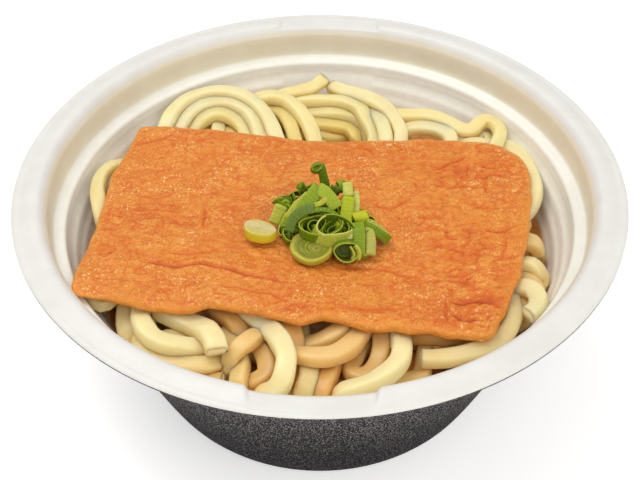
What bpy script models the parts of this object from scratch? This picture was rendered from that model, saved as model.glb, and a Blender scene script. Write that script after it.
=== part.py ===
"""Kitsune udon in a takeaway foam bowl: thick wheat noodles in broth, a sheet of
sweet fried tofu over them, and sliced green onion on top.

Sizes are in millimetres and scaled to metres when a mesh is made. +Z is up, the
origin is the centre of the bowl's flat underside, +X runs along the long side of
the tofu sheet and +Y points to the back of the bowl, away from the eater.
"""
import math

import bmesh
import bpy
import numpy as np
from mathutils import noise, Vector

MM = 0.001

# ---- bowl -------------------------------------------------------------------
RIM_R = 90.0            # outer edge of the rim
RIM_Z = 69.5            # height of the outer edge
CREST_R, CREST_Z = 83.0, 71.0
LEDGE_OUT, LEDGE_IN, LEDGE_Z = 78.8, 76.2, 59.9
WALL = 2.3              # foam thickness
WALL_TOP = (81.0, 60.5)  # outer wall, as one curve from under the rim to the foot
WALL_TOP_PULL = (70.4, 49.4)
WALL_FOOT_PULL = (56.4, 4.8)
FOOT = (52.4, 0.9)
FOOT_FLAT_R = 51.4
FLOOR_Z = 2.6
RIDGE_TOP, RIDGE_PITCH, RIDGES, RIDGE_DEEP = 57.2, 4.0, 4, 0.45
NOTCH_HALF = 18.4       # half-width of the shallow recess across the rim
NOTCH_SLANT = 2.2       # it is narrower by this much at its outer end
NOTCH_FLOOR = 69.95
NOTCH_TURN = {1: math.radians(2.0), -1: math.radians(1.1)}  # clockwise: back, front
# the underside of what is cut away for each recess, as radius and height; the front one
# also bevels the rim's inner edge
NOTCH_UNDER = {1: [(91.5, NOTCH_FLOOR), (72.0, NOTCH_FLOOR)],
               -1: [(91.5, 69.75), (83.2, 69.7), (82.4, 69.3), (80.2, 66.9), (79.3, 66.0),
                    (72.0, 66.0)]}
BOWL_STEPS = 56

# ---- broth ------------------------------------------------------------------
BROTH_Z = 44.0
BROTH_GAP = 0.5

# ---- noodle heap ------------------------------------------------------------
NOODLE_W = 5.0          # width of one noodle, the scale of the heap's relief
HEAP_MID_Z = 56.0
HEAP_EDGE_Z, HEAP_EDGE_TILT, HEAP_HIGH_SIDE = 51.0, 4.6, math.radians(118)
HEAP_SINK_R = 61.4      # radius of the sunken part where it meets the broth's top
HEAP_STEPS = 72

# ---- fried tofu sheet -------------------------------------------------------
TOFU_BACK_LEFT, TOFU_BACK_RIGHT = (-57.5, 38.3), (65.5, 31.5)
TOFU_FRONT_RIGHT, TOFU_FRONT_LEFT = (48.5, -54.0), (-70.3, -40.5)
TOFU_CORNERS = {(-1, 1): 3.5, (1, 1): 13.0, (1, -1): 7.5, (-1, -1): 5.0}
TOFU_THICK = 4.3
TOFU_Z = 61.1           # height of the top at the middle
TOFU_TILT = -0.021      # it falls slightly to the right
TOFU_CORNER_LIFT = 1.2  # the front left corner lies up on the ledge
TOFU_ALONG, TOFU_ACROSS = 20, 13

# ---- green onion ------------------------------------------------------------
ONION_AT, ONION_HALF, ONION_HALF_LEFT = (3.5, -12.0), (17.5, 15.0), 14.2
ONION_HIGH = 10.5
CURL_FOOT, CURL_TIP, CURL_R = (1.8, -2.0, 64.5), (-0.6, 3.2, 76.6), 1.7
SLICE_AT, SLICE_TURN = (-17.3, -16.0), math.radians(-16.0)
SLICE_W, SLICE_D, SLICE_H = 9.7, 6.3, 4.3


# ---- shared shape functions -------------------------------------------------
def bezier(p0, p1, p2, p3, t):
    a, b, c, d = (1 - t) ** 3, 3 * (1 - t) ** 2 * t, 3 * (1 - t) * t * t, t ** 3
    return (a * p0[0] + b * p1[0] + c * p2[0] + d * p3[0],
            a * p0[1] + b * p1[1] + c * p2[1] + d * p3[1])


def outer_wall(t):
    return bezier(WALL_TOP, WALL_TOP_PULL, WALL_FOOT_PULL, FOOT, t)


def inner_wall(t):
    """The outer wall moved in by the foam's thickness."""
    r0, z0 = outer_wall(max(t - 0.01, 0.0))
    r1, z1 = outer_wall(min(t + 0.01, 1.0))
    r, z = outer_wall(t)
    length = math.hypot(r1 - r0, z1 - z0)
    return r + WALL * (z1 - z0) / length, z - WALL * (r1 - r0) / length


INNER = sorted((inner_wall(i / 60)[1], inner_wall(i / 60)[0]) for i in range(61))
INNER_Z = [z for z, r in INNER]
INNER_R = [r for z, r in INNER]


def inner_radius(z):
    """Radius of the bowl's plain inner wall at a height."""
    return float(np.interp(z, INNER_Z, INNER_R))


def ledge_height(r):
    """Height of the bowl's inside at a radius, from the wall over the ledge."""
    return float(np.interp(r, [INNER_R[40], 75.4, LEDGE_IN, LEDGE_OUT, 79.2, 79.5],
                           [INNER_Z[40], 59.4, LEDGE_Z, LEDGE_Z + 0.3, 61.5, 66.0]))


def wrinkle(x, y, size, seed):
    return noise.noise(Vector((x / size, y / size, seed)))


# ---- scene and helpers ------------------------------------------------------
for old in list(bpy.data.objects):
    bpy.data.objects.remove(old, do_unlink=True)

parts = bpy.data.collections.new("udon_bowl")
cutters = bpy.data.collections.new("cutters")
cutters.hide_render = True
bpy.context.scene.collection.children.link(parts)
bpy.context.scene.collection.children.link(cutters)


def material(name, colour, roughness):
    made = bpy.data.materials.new(name)
    made.use_nodes = True
    shader = made.node_tree.nodes["Principled BSDF"]
    shader.inputs["Base Color"].default_value = (*colour, 1.0)
    shader.inputs["Roughness"].default_value = roughness
    shader.inputs["Metallic"].default_value = 0.0
    return made


def add(name, mesh, finish, collection=parts):
    made = bpy.data.objects.new(name, mesh)
    collection.objects.link(made)
    if finish:
        mesh.materials.append(finish)
    return made


def to_object(name, bm, finish, collection=parts):
    bmesh.ops.recalc_face_normals(bm, faces=bm.faces)
    if bm.calc_volume(signed=True) < 0:
        bmesh.ops.reverse_faces(bm, faces=bm.faces)
    for vertex in bm.verts:
        vertex.co *= MM
    mesh = bpy.data.meshes.new(name)
    bm.to_mesh(mesh)
    bm.free()
    mesh.shade_smooth()
    mesh.set_sharp_from_angle(angle=math.radians(40))
    return add(name, mesh, finish, collection)


def turned(name, profile, steps, finish):
    """A solid of revolution from an open profile with both ends on the axis."""
    mesh = bpy.data.meshes.new(name)
    mesh.from_pydata([(r * MM, 0.0, z * MM) for r, z in profile],
                     [(i, i + 1) for i in range(len(profile) - 1)], [])
    made = add(name, mesh, finish)
    screw = made.modifiers.new("turn", "SCREW")
    screw.axis = "Z"
    screw.angle = 2 * math.pi
    screw.steps = screw.render_steps = steps
    screw.use_merge_vertices = True
    screw.merge_threshold = 0.00001
    screw.use_smooth_shade = True
    return made


# ---- bowl -------------------------------------------------------------------
def ridged_wall():
    """The inner wall from the floor up to the ledge, with its moulded ridges."""
    points = []
    for step in range(8):
        r, z = inner_wall(0.97 - 0.085 * step)
        if z < RIDGE_TOP - RIDGE_PITCH * RIDGES - 1.0:
            points.append((r, z))
    for ridge in range(RIDGES, 0, -1):
        z = RIDGE_TOP - RIDGE_PITCH * ridge
        points.append((inner_radius(z) - RIDGE_DEEP / 2, z))
        points.append((inner_radius(z + 1.2) + RIDGE_DEEP / 2, z + 1.2))
    return points


bowl_profile = (
    [(0.0, FLOOR_Z), (47.5, FLOOR_Z)]
    + ridged_wall()
    + [(75.2, 57.6), (75.5, 59.3), (LEDGE_IN, LEDGE_Z), (LEDGE_OUT, LEDGE_Z + 0.3),
       (79.3, 61.3), (79.6, 66.0), (79.9, 67.9), (80.8, 69.5), (81.9, 70.6),
       (CREST_R, CREST_Z), (87.6, 69.95), (88.3, 70.05), (89.4, 69.8),
       (RIM_R, 69.3), (RIM_R, 68.95), (89.5, 68.6), (87.6, 67.6), (85.2, 66.2),
       (83.0, 64.2), (81.9, 62.2)]
    + [outer_wall(t) for t in (0.0, 0.16, 0.34, 0.52, 0.7, 0.86, 1.0)]
    + [(FOOT_FLAT_R, 0.0), (0.0, 0.0)]
)
foam = material("foam", (0.86, 0.85, 0.81), 0.42)
bowl = turned("bowl", bowl_profile, BOWL_STEPS, foam)


def rim_recess(name, side):
    """A tapered block that lowers the rim's crest between two slanted ends."""
    bm = bmesh.new()
    turn = NOTCH_TURN[side]
    section = NOTCH_UNDER[side] + [(72.0, 74.0), (91.5, 74.0)]
    ends = []
    for edge in (-1, 1):
        ends.append([])
        for r, z in section:
            half = NOTCH_HALF - NOTCH_SLANT * (r - 72.0) / 19.5 + 0.35 * (z - NOTCH_FLOOR)
            x, y = edge * half, side * r
            ends[-1].append(bm.verts.new((x * math.cos(turn) + y * math.sin(turn),
                                          y * math.cos(turn) - x * math.sin(turn), z)))
    bm.faces.new(ends[0])
    bm.faces.new(ends[1][::-1])
    for k in range(len(section)):
        a, b = k, (k + 1) % len(section)
        bm.faces.new((ends[0][b], ends[0][a], ends[1][a], ends[1][b]))
    bmesh.ops.recalc_face_normals(bm, faces=bm.faces)
    made = to_object(name, bm, None, cutters)
    made.display_type = "WIRE"
    made.hide_render = True
    cut = bowl.modifiers.new(name, "BOOLEAN")
    cut.operation = "DIFFERENCE"
    cut.solver = "EXACT"
    cut.object = made


rim_recess("recess_front", -1)
rim_recess("recess_back", 1)

# ---- broth: fills the bowl round the sunken part of the heap, up to its level ----
SUNK = [(HEAP_SINK_R, BROTH_Z + 0.45), (60.2, 38.0), (56.0, 24.0), (48.5, 14.0),
        (34.0, 9.6), (0.0, 9.0)]
broth_profile = (
    [(0.0, SUNK[-1][1] - 0.6), (34.2, 8.9), (49.0, 13.4), (56.6, 23.7), (60.8, 37.8),
     (HEAP_SINK_R + 0.7, BROTH_Z)]
    + [(inner_radius(BROTH_Z) - RIDGE_DEEP / 2 - BROTH_GAP, BROTH_Z)]
    + [(inner_radius(z) - RIDGE_DEEP / 2 - BROTH_GAP, z) for z in (34.0, 22.0, 12.0, 6.0)]
    + [(46.5, FLOOR_Z + BROTH_GAP), (0.0, FLOOR_Z + BROTH_GAP)]
)
soup = material("broth", (0.33, 0.13, 0.035), 0.08)
turned("broth", broth_profile, 40, soup)


# ---- fried tofu -------------------------------------------------------------
def tofu_top(x, y):
    """Smooth height of the sheet's top side."""
    lift = TOFU_CORNER_LIFT * math.exp(-((x + 67) ** 2 + (y + 38) ** 2) / 15.0 ** 2)
    sag = 0.8 * math.sin(x / 14 + y / 25 + 0.6) * math.sin(y / 15 - x / 34 + 1.1)
    return TOFU_Z + TOFU_TILT * x + lift + sag


def tofu_thickness(x, y):
    thin = math.exp(-((x + 67) ** 2 + (y + 38) ** 2) / 12.0 ** 2)
    return TOFU_THICK * (1 - 0.5 * thin)


def tofu_bottom(x, y):
    """The underside, kept clear of the wall and ledge that a corner lies on."""
    return max(tofu_top(x, y) - tofu_thickness(x, y),
               ledge_height(math.hypot(x, y)) + 0.45)


def tofu_plan(a, b):
    """A rounded quadrilateral with bowed sides; a and b run from -1 to 1."""
    side = (1 if a > 0 else -1, 1 if b > 0 else -1)
    cell_a, cell_b = TOFU_CORNERS[side] / 61.0, TOFU_CORNERS[side] / 39.0
    s = (abs(a) - (1 - cell_a)) / cell_a
    t = (abs(b) - (1 - cell_b)) / cell_b
    if s > 0 and t > 0:
        shrink = max(s, t) / math.hypot(s, t)
        a = side[0] * (1 - cell_a + cell_a * s * shrink)
        b = side[1] * (1 - cell_b + cell_b * t * shrink)
    u, v = (a + 1) / 2, (b + 1) / 2
    corners = (TOFU_FRONT_LEFT, TOFU_FRONT_RIGHT, TOFU_BACK_LEFT, TOFU_BACK_RIGHT)
    weights = ((1 - u) * (1 - v), u * (1 - v), (1 - u) * v, u * v)
    x = sum(w * c[0] for w, c in zip(weights, corners))
    y = sum(w * c[1] for w, c in zip(weights, corners))
    # its right side bows out, its left side out near the back, and its back edge
    # in at the middle and out towards the right
    x += 4.3 * (1 - b * b) * max(a, 0.0) ** 3
    x -= 2.3 * math.exp(-((b - 0.35) / 0.4) ** 2) * max(-a, 0.0) ** 3
    y += max(b, 0.0) ** 3 * (2.2 * math.exp(-((a - 0.6) / 0.27) ** 2)
                             - 2.8 * math.exp(-(a / 0.28) ** 2))
    return x, y


def graded(cells, half_length):
    """Rows across the sheet, close together along its rounded edges."""
    edge = [1.0 - d / half_length for d in (0.0, 0.9, 2.6)]
    inner = np.linspace(-edge[2], edge[2], cells - 3)[1:-1]
    return [-e for e in edge] + [float(v) for v in inner] + edge[::-1]


def edge_round(a, b, half_a, half_b):
    """1 inside the sheet, falling to 0.3 at its edge along a rounded flank."""
    inset = min((1 - abs(a)) * half_a, (1 - abs(b)) * half_b)
    depth = min(inset / 2.6, 1.0)
    return 0.3 + 0.7 * math.sqrt(1 - (1 - depth) ** 2)


rows_a, rows_b = graded(TOFU_ALONG, 61.0), graded(TOFU_ACROSS, 39.0)
bm = bmesh.new()
bmesh.ops.create_grid(bm, x_segments=len(rows_a) - 1, y_segments=len(rows_b) - 1, size=1.0)
count_a, count_b = len(rows_a) - 1, len(rows_b) - 1
where = {}
for vertex in bm.verts:
    i = round((vertex.co.x + 1) / 2 * count_a)
    j = round((vertex.co.y + 1) / 2 * count_b)
    where[vertex] = (i, j)
lower = list(bm.verts)
raised = bmesh.ops.extrude_face_region(bm, geom=bm.faces[:] + bm.edges[:] + bm.verts[:])
upper = [item for item in raised["geom"] if isinstance(item, bmesh.types.BMVert)]
for group, top in ((lower, False), (upper, True)):
    for vertex in group:
        i = where[vertex][0] if vertex in where else round((vertex.co.x + 1) / 2 * count_a)
        j = where[vertex][1] if vertex in where else round((vertex.co.y + 1) / 2 * count_b)
        a, b = rows_a[i], rows_b[j]
        x, y = tofu_plan(a, b)
        x += 0.7 * wrinkle(x, y, 9.0, 3.0)
        y += 0.7 * wrinkle(x, y, 9.0, 8.0)
        full = edge_round(a, b, 61.0, 39.0)
        above, below = tofu_top(x, y), tofu_bottom(x, y)
        middle = (above + below) / 2
        if top:
            calm = min(math.hypot((x - ONION_AT[0]) / 22, (y - ONION_AT[1]) / 20), 1.0) ** 4
            crumple = (0.55 * wrinkle(x, y, 7.0, 1.0) - 0.5 * abs(wrinkle(x, y, 12.0, 5.0))) * calm
            vertex.co = (x, y, middle + (above - middle) * full + crumple * full)
        else:
            vertex.co = (x, y, middle - (middle - below) * full)
to_object("fried_tofu", bm, material("fried_tofu", (0.80, 0.36, 0.11), 0.5))

# outline of the sheet, for what lies under it
outline = ([tofu_plan(-1 + i / 20, 1.0) for i in range(41)]
           + [tofu_plan(1.0, 1 - i / 12) for i in range(25)]
           + [tofu_plan(1 - i / 20, -1.0) for i in range(41)]
           + [tofu_plan(-1.0, -1 + i / 12) for i in range(25)])


def beyond_tofu(x, y):
    """Distance outside the sheet's outline, 0 under it."""
    inside = False
    nearest = 1e9
    for (x0, y0), (x1, y1) in zip(outline, outline[1:] + outline[:1]):
        if (y0 > y) != (y1 > y) and x < (x1 - x0) * (y - y0) / (y1 - y0) + x0:
            inside = not inside
        nearest = min(nearest, math.hypot(x0 - x, y0 - y))
    return 0.0 if inside else nearest


# ---- noodle heap ------------------------------------------------------------
def heap_edge(angle):
    """Height of the heap where it meets the wall: high at the back left."""
    return (HEAP_EDGE_Z + HEAP_EDGE_TILT * math.cos(angle - HEAP_HIGH_SIDE)
            + 0.8 * math.sin(3 * angle + 0.5))


def heap_reach(angle):
    """How far the heap's outline stays from the wall: pools of broth show there."""
    pool_right = 5.5 * math.exp(-((angle - math.radians(12)) / math.radians(16)) ** 2)
    pool_front = 3.0 * math.exp(-((angle - math.radians(297)) / math.radians(9)) ** 2)
    pool_left = 3.0 * math.exp(-((angle - math.radians(219)) / math.radians(9)) ** 2)
    return 0.9 + pool_right + pool_front + pool_left


def strands(x, y):
    """Relief of the noodles' rounded backs, winding round the heap."""
    r, angle = math.hypot(x, y), math.atan2(y, x)
    wind = 0.8 * r + 6.0 * math.sin(2 * angle + 0.7) + 4.5 * math.sin(5 * angle)
    back = abs(math.sin(math.pi * wind / (NOODLE_W * 1.8)))
    return 3.2 * (back - 0.55) + 1.6 * wrinkle(x, y, 13.0, 2.0)


def heap_top(x, y):
    r, angle = math.hypot(x, y), math.atan2(y, x) % (2 * math.pi)
    edge = heap_edge(angle)
    high = edge + (HEAP_MID_Z - edge) * max(0.0, 1 - (r / 74) ** 2) ** 0.8 + strands(x, y)
    if beyond_tofu(x, y) < 6.5:
        high = min(high, tofu_bottom(x, y) - 0.9)
    return high


ring_radii = [0.0, 16.0, 28.0, 37.0, 44.0] + [44.0 + 2.6 * k for k in range(1, 8)]
bm = bmesh.new()
rings = len(ring_radii) + 1 + len(SUNK) - 1
bmesh.ops.create_uvsphere(bm, u_segments=HEAP_STEPS, v_segments=rings, radius=1.0)
for vertex in bm.verts:
    ring = round(math.acos(max(-1.0, min(1.0, vertex.co.z))) / math.pi * rings)
    angle = math.atan2(vertex.co.y, vertex.co.x) % (2 * math.pi)
    c, s = math.cos(angle), math.sin(angle)
    edge_r = inner_radius(heap_edge(angle)) - heap_reach(angle)
    if ring < len(ring_radii):
        r = ring_radii[ring] * min(1.0, (edge_r - 0.8) / ring_radii[-1])
        if ring >= 5:
            share = (ring - 4) / (len(ring_radii) - 5)
            r = 44.0 + (edge_r - 1.2 - 44.0) * share
        z = heap_top(r * c, r * s)
        if ring == len(ring_radii) - 1:
            z -= 0.9
    elif ring == len(ring_radii):
        r = max(inner_radius(BROTH_Z + 1.5) - heap_reach(angle), HEAP_SINK_R + 0.8)
        z = BROTH_Z + 1.6
    else:
        r, z = SUNK[ring - len(ring_radii) - 1]
    vertex.co = (r * c, r * s, z)
to_object("noodles", bm, material("noodles", (0.86, 0.74, 0.40), 0.3))


# ---- green onion heap -------------------------------------------------------
def onion_floor(x, y):
    return tofu_top(x, y) + 0.65


bm = bmesh.new()
bmesh.ops.create_uvsphere(bm, u_segments=26, v_segments=11, radius=1.0)
for vertex in bm.verts:
    polar = math.acos(max(-1.0, min(1.0, vertex.co.z)))
    ring = round(polar / math.pi * 11)
    angle = math.atan2(vertex.co.y, vertex.co.x)
    share = ring / 8 if ring <= 8 else (11 - ring) / 3.2
    ragged = 1 + 0.07 * math.sin(5 * angle + 0.4) + 0.05 * math.sin(9 * angle + 2)
    half = ONION_HALF[0] if math.cos(angle) > 0 else ONION_HALF_LEFT
    x = ONION_AT[0] + half * share * ragged * math.cos(angle)
    y = ONION_AT[1] + ONION_HALF[1] * share * ragged * math.sin(angle)
    floor = onion_floor(x, y)
    if ring <= 8:
        lumps = 1.5 * wrinkle(x, y, 4.5, 4.0)
        high = ONION_HIGH * (1 - share ** 2.2) + lumps * (1 - share ** 4)
        z = floor + max(high, 0.0) + 1.0
    else:
        z = floor
    vertex.co = (x, y, z)
onion = to_object("green_onion", bm, material("green_onion", (0.22, 0.42, 0.08), 0.4))

# one dark strip of leaf stands up out of the heap and curls over at its tip
bm = bmesh.new()
bmesh.ops.create_cone(bm, cap_ends=True, segments=8, radius1=1.0, radius2=1.0, depth=1.0)
bmesh.ops.subdivide_edges(bm, edges=[e for e in bm.edges if abs(e.verts[0].co.z - e.verts[1].co.z) > 0.5],
                          cuts=4)
for vertex in bm.verts:
    high = vertex.co.z + 0.5
    bend = math.sin(math.pi * high) * 1.2
    wide = CURL_R * (1.25 - 0.35 * high)
    vertex.co = (CURL_FOOT[0] + (CURL_TIP[0] - CURL_FOOT[0]) * high + bend + vertex.co.x * wide,
                 CURL_FOOT[1] + (CURL_TIP[1] - CURL_FOOT[1]) * high + vertex.co.y * wide * 0.7,
                 CURL_FOOT[2] + (CURL_TIP[2] - CURL_FOOT[2]) * high)
strip = to_object("onion_strip", bm, None, cutters)
strip.display_type = "WIRE"
strip.hide_render = True
join = onion.modifiers.new("strip", "BOOLEAN")
join.operation = "UNION"
join.solver = "EXACT"
join.object = strip

# ---- the lone slice of onion: a short oval piece of the stalk, cut side up ----
bm = bmesh.new()
bmesh.ops.create_cone(bm, cap_ends=True, segments=20, radius1=0.5, radius2=0.5, depth=1.0)
base = max(tofu_top(SLICE_AT[0] + dx, SLICE_AT[1] + dy) for dx in (-5, 0, 5) for dy in (-3, 0, 3))
for vertex in bm.verts:
    high = vertex.co.z + 0.5
    swell = 1 + 0.06 * math.sin(math.pi * high)
    x, y = vertex.co.x * SLICE_W * swell, vertex.co.y * SLICE_D * swell
    vertex.co = (SLICE_AT[0] + x * math.cos(SLICE_TURN) - y * math.sin(SLICE_TURN),
                 SLICE_AT[1] + x * math.sin(SLICE_TURN) + y * math.cos(SLICE_TURN) + 0.9 * high,
                 base + 0.75 + high * SLICE_H)
to_object("green_onion_slice", bm, material("green_onion_pale", (0.75, 0.74, 0.22), 0.4))
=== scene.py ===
"""Looks of a takeaway bowl of udon: thick wheat noodles in dark broth, a sheet of
sweet fried tofu over them and sliced green onion on top, in a foam bowl that is
white inside and speckled charcoal outside.

Design numbers are in millimetres in the CAD frame (origin at the centre of the
underside, +Z up, +Y to the back) and become metres when a mesh is made.
"""
import math

import bpy
import numpy as np
from mathutils import Matrix, Vector, noise


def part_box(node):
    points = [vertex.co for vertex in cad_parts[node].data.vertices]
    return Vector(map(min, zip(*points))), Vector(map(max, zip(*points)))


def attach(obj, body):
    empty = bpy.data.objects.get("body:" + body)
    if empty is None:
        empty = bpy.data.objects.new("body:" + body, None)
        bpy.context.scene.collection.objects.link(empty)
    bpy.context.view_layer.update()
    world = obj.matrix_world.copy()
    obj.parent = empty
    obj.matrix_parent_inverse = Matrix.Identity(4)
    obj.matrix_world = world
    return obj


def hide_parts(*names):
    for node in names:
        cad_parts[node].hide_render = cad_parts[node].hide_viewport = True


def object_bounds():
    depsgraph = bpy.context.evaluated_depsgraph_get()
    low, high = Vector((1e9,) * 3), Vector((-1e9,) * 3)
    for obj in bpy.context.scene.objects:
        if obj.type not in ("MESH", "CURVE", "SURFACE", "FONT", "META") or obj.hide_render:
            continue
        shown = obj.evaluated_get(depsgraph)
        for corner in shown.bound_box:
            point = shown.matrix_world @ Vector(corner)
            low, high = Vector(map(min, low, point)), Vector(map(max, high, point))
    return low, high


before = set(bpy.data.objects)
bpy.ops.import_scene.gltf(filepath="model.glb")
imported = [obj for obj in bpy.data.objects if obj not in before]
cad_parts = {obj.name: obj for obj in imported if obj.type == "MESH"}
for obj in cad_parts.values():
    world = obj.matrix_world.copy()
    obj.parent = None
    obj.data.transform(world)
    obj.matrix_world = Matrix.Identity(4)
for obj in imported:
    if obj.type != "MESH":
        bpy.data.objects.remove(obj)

CAD_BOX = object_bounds()
MM = 0.001

# ---- sizes shared with the CAD ----------------------------------------------
RIM_R, RIM_Z = 90.0, 69.5
CREST_R, CREST_Z = 83.0, 71.0
LEDGE_OUT, LEDGE_IN, LEDGE_Z = 78.8, 76.2, 59.9
WALL = 2.3
WALL_TOP, WALL_TOP_PULL = (81.0, 60.5), (70.4, 49.4)
WALL_FOOT_PULL, FOOT, FOOT_FLAT_R = (56.4, 4.8), (52.4, 0.9), 51.4
FLOOR_Z = 2.6
RIDGE_TOP, RIDGE_PITCH, RIDGES, RIDGE_DEEP = 57.2, 4.0, 4, 0.45
NOTCH_HALF, NOTCH_SLANT, NOTCH_FLOOR = 18.4, 2.2, 69.95
NOTCH_BACK, NOTCH_FRONT = math.radians(2.0), math.radians(1.1)  # turned clockwise by
BROTH_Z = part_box("broth")[1].z / MM
TOFU_BACK_LEFT, TOFU_BACK_RIGHT = (-57.5, 38.3), (65.5, 31.5)
TOFU_FRONT_RIGHT, TOFU_FRONT_LEFT = (48.5, -54.0), (-70.3, -40.5)
TOFU_CORNERS = {(-1, 1): 3.5, (1, 1): 13.0, (1, -1): 4.5, (-1, -1): 5.0}
TOFU_THICK, TOFU_Z, TOFU_TILT, TOFU_CORNER_LIFT = 4.3, 61.1, -0.021, 1.2
ONION_AT = (3.5, -12.0)


# ---- shape functions ----------------------------------------------------------
def bezier(p0, p1, p2, p3, t):
    a, b, c, d = (1 - t) ** 3, 3 * (1 - t) ** 2 * t, 3 * (1 - t) * t * t, t ** 3
    return (a * p0[0] + b * p1[0] + c * p2[0] + d * p3[0],
            a * p0[1] + b * p1[1] + c * p2[1] + d * p3[1])


def outer_wall(t):
    return bezier(WALL_TOP, WALL_TOP_PULL, WALL_FOOT_PULL, FOOT, t)


def inner_wall(t):
    """The outer wall moved in by the foam's thickness."""
    r0, z0 = outer_wall(max(t - 0.01, 0.0))
    r1, z1 = outer_wall(min(t + 0.01, 1.0))
    r, z = outer_wall(t)
    length = math.hypot(r1 - r0, z1 - z0)
    return r + WALL * (z1 - z0) / length, z - WALL * (r1 - r0) / length


INNER = sorted((inner_wall(i / 60)[1], inner_wall(i / 60)[0]) for i in range(61))
INNER_Z = np.array([z for z, r in INNER])
INNER_R = np.array([r for z, r in INNER])
# the bowl's inside over all heights: plain wall, then the step up to the ledge
ROOM_Z = np.concatenate([INNER_Z[INNER_Z < 57.4], [59.3, 60.0, 60.5, 63.0]])
ROOM_R = np.concatenate([INNER_R[INNER_Z < 57.4], [75.4, 76.4, 78.9, 79.4]])


def room_radius(z):
    """Radius of the bowl's inside at each height."""
    return np.interp(z, ROOM_Z, ROOM_R)


def ledge_height(r):
    return np.interp(r, [INNER_R[40], 75.4, LEDGE_IN, LEDGE_OUT, 79.2, 79.5],
                     [INNER_Z[40], 59.4, LEDGE_Z, LEDGE_Z + 0.3, 61.5, 66.0])


def smoothstep(lo, hi, value):
    t = np.clip((np.asarray(value, float) - lo) / (hi - lo), 0.0, 1.0)
    return t * t * (3 - 2 * t)


def field(x, y, size_x, size_y, seed):
    """Smooth noise from -1 to 1 over a plane, its lumps about size_x by size_y."""
    return np.array([noise.noise(Vector((a / size_x, b / size_y, seed)))
                     for a, b in zip(np.ravel(x), np.ravel(y))]).reshape(np.shape(x))


def tofu_top(x, y):
    lift = TOFU_CORNER_LIFT * np.exp(-((x + 67) ** 2 + (y + 38) ** 2) / 15.0 ** 2)
    sag = 0.8 * np.sin(x / 14 + y / 25 + 0.6) * np.sin(y / 15 - x / 34 + 1.1)
    return TOFU_Z + TOFU_TILT * x + lift + sag


def tofu_bottom(x, y):
    thin = np.exp(-((x + 67) ** 2 + (y + 38) ** 2) / 12.0 ** 2)
    return np.maximum(tofu_top(x, y) - TOFU_THICK * (1 - 0.5 * thin),
                      ledge_height(np.hypot(x, y)) + 0.45)


def tofu_plan(a, b):
    """A rounded quadrilateral with bowed sides; a and b run from -1 to 1."""
    side = (1 if a > 0 else -1, 1 if b > 0 else -1)
    cell_a, cell_b = TOFU_CORNERS[side] / 61.0, TOFU_CORNERS[side] / 39.0
    s = (abs(a) - (1 - cell_a)) / cell_a
    t = (abs(b) - (1 - cell_b)) / cell_b
    if s > 0 and t > 0:
        shrink = max(s, t) / math.hypot(s, t)
        a = side[0] * (1 - cell_a + cell_a * s * shrink)
        b = side[1] * (1 - cell_b + cell_b * t * shrink)
    u, v = (a + 1) / 2, (b + 1) / 2
    corners = (TOFU_FRONT_LEFT, TOFU_FRONT_RIGHT, TOFU_BACK_LEFT, TOFU_BACK_RIGHT)
    weights = ((1 - u) * (1 - v), u * (1 - v), (1 - u) * v, u * v)
    x = sum(w * c[0] for w, c in zip(weights, corners))
    y = sum(w * c[1] for w, c in zip(weights, corners))
    # its right side bows out, its left side out near the back, and its back edge
    # in at the middle and out towards the right
    x += 4.3 * (1 - b * b) * max(a, 0.0) ** 3
    x -= 2.3 * math.exp(-((b - 0.35) / 0.4) ** 2) * max(-a, 0.0) ** 3
    y += max(b, 0.0) ** 3 * (2.2 * math.exp(-((a - 0.6) / 0.27) ** 2)
                             - 2.8 * math.exp(-(a / 0.28) ** 2))
    return x, y


OUTLINE = np.array([tofu_plan(-1 + i / 60, 1.0) for i in range(120)]
                   + [tofu_plan(1.0, 1 - i / 40) for i in range(80)]
                   + [tofu_plan(1 - i / 60, -1.0) for i in range(120)]
                   + [tofu_plan(-1.0, -1 + i / 40) for i in range(80)])


def outside_tofu(x, y):
    """Distance outside the tofu's outline, negative under it."""
    x, y = np.asarray(x, float), np.asarray(y, float)
    near = np.sqrt(((OUTLINE[:, 0][:, None] - x.ravel()) ** 2
                    + (OUTLINE[:, 1][:, None] - y.ravel()) ** 2).min(0))
    following = np.roll(OUTLINE, -1, 0)
    x0, y0, x1, y1 = OUTLINE[:, 0], OUTLINE[:, 1], following[:, 0], following[:, 1]
    crosses = (y0[:, None] > y.ravel()) != (y1[:, None] > y.ravel())
    slope = (x1 - x0) / np.where(y1 == y0, 1e-9, y1 - y0)
    left = x.ravel() < slope[:, None] * (y.ravel() - y0[:, None]) + x0[:, None]
    inside = (crosses & left).sum(0) % 2 == 1
    return np.where(inside, -near, near).reshape(x.shape)


# ---- meshes -------------------------------------------------------------------
def piece(name, points, faces, materials, node=None, face_material=None,
          attributes=None):
    """A mesh object from points in millimetres. It rides on the bowl's one body."""
    mesh = bpy.data.meshes.new(name)
    mesh.from_pydata(np.asarray(points, float) * MM, [], faces)
    for finish in materials:
        mesh.materials.append(finish)
    if face_material is not None:
        mesh.polygons.foreach_set("material_index", np.asarray(face_material, np.int32))
    for title, values in (attributes or {}).items():
        values = np.asarray(values, np.float32)
        if values.ndim == 1:
            made = mesh.attributes.new(title, "FLOAT", "POINT")
            made.data.foreach_set("value", values)
        else:
            made = mesh.attributes.new(title, "FLOAT_COLOR", "POINT")
            made.data.foreach_set("color", np.c_[values, np.ones(len(values))].ravel())
    mesh.validate()
    mesh.shade_smooth()
    made = bpy.data.objects.new(name, mesh)
    bpy.context.scene.collection.objects.link(made)
    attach(made, "root")
    if node:
        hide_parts(node)
    return made


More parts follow.
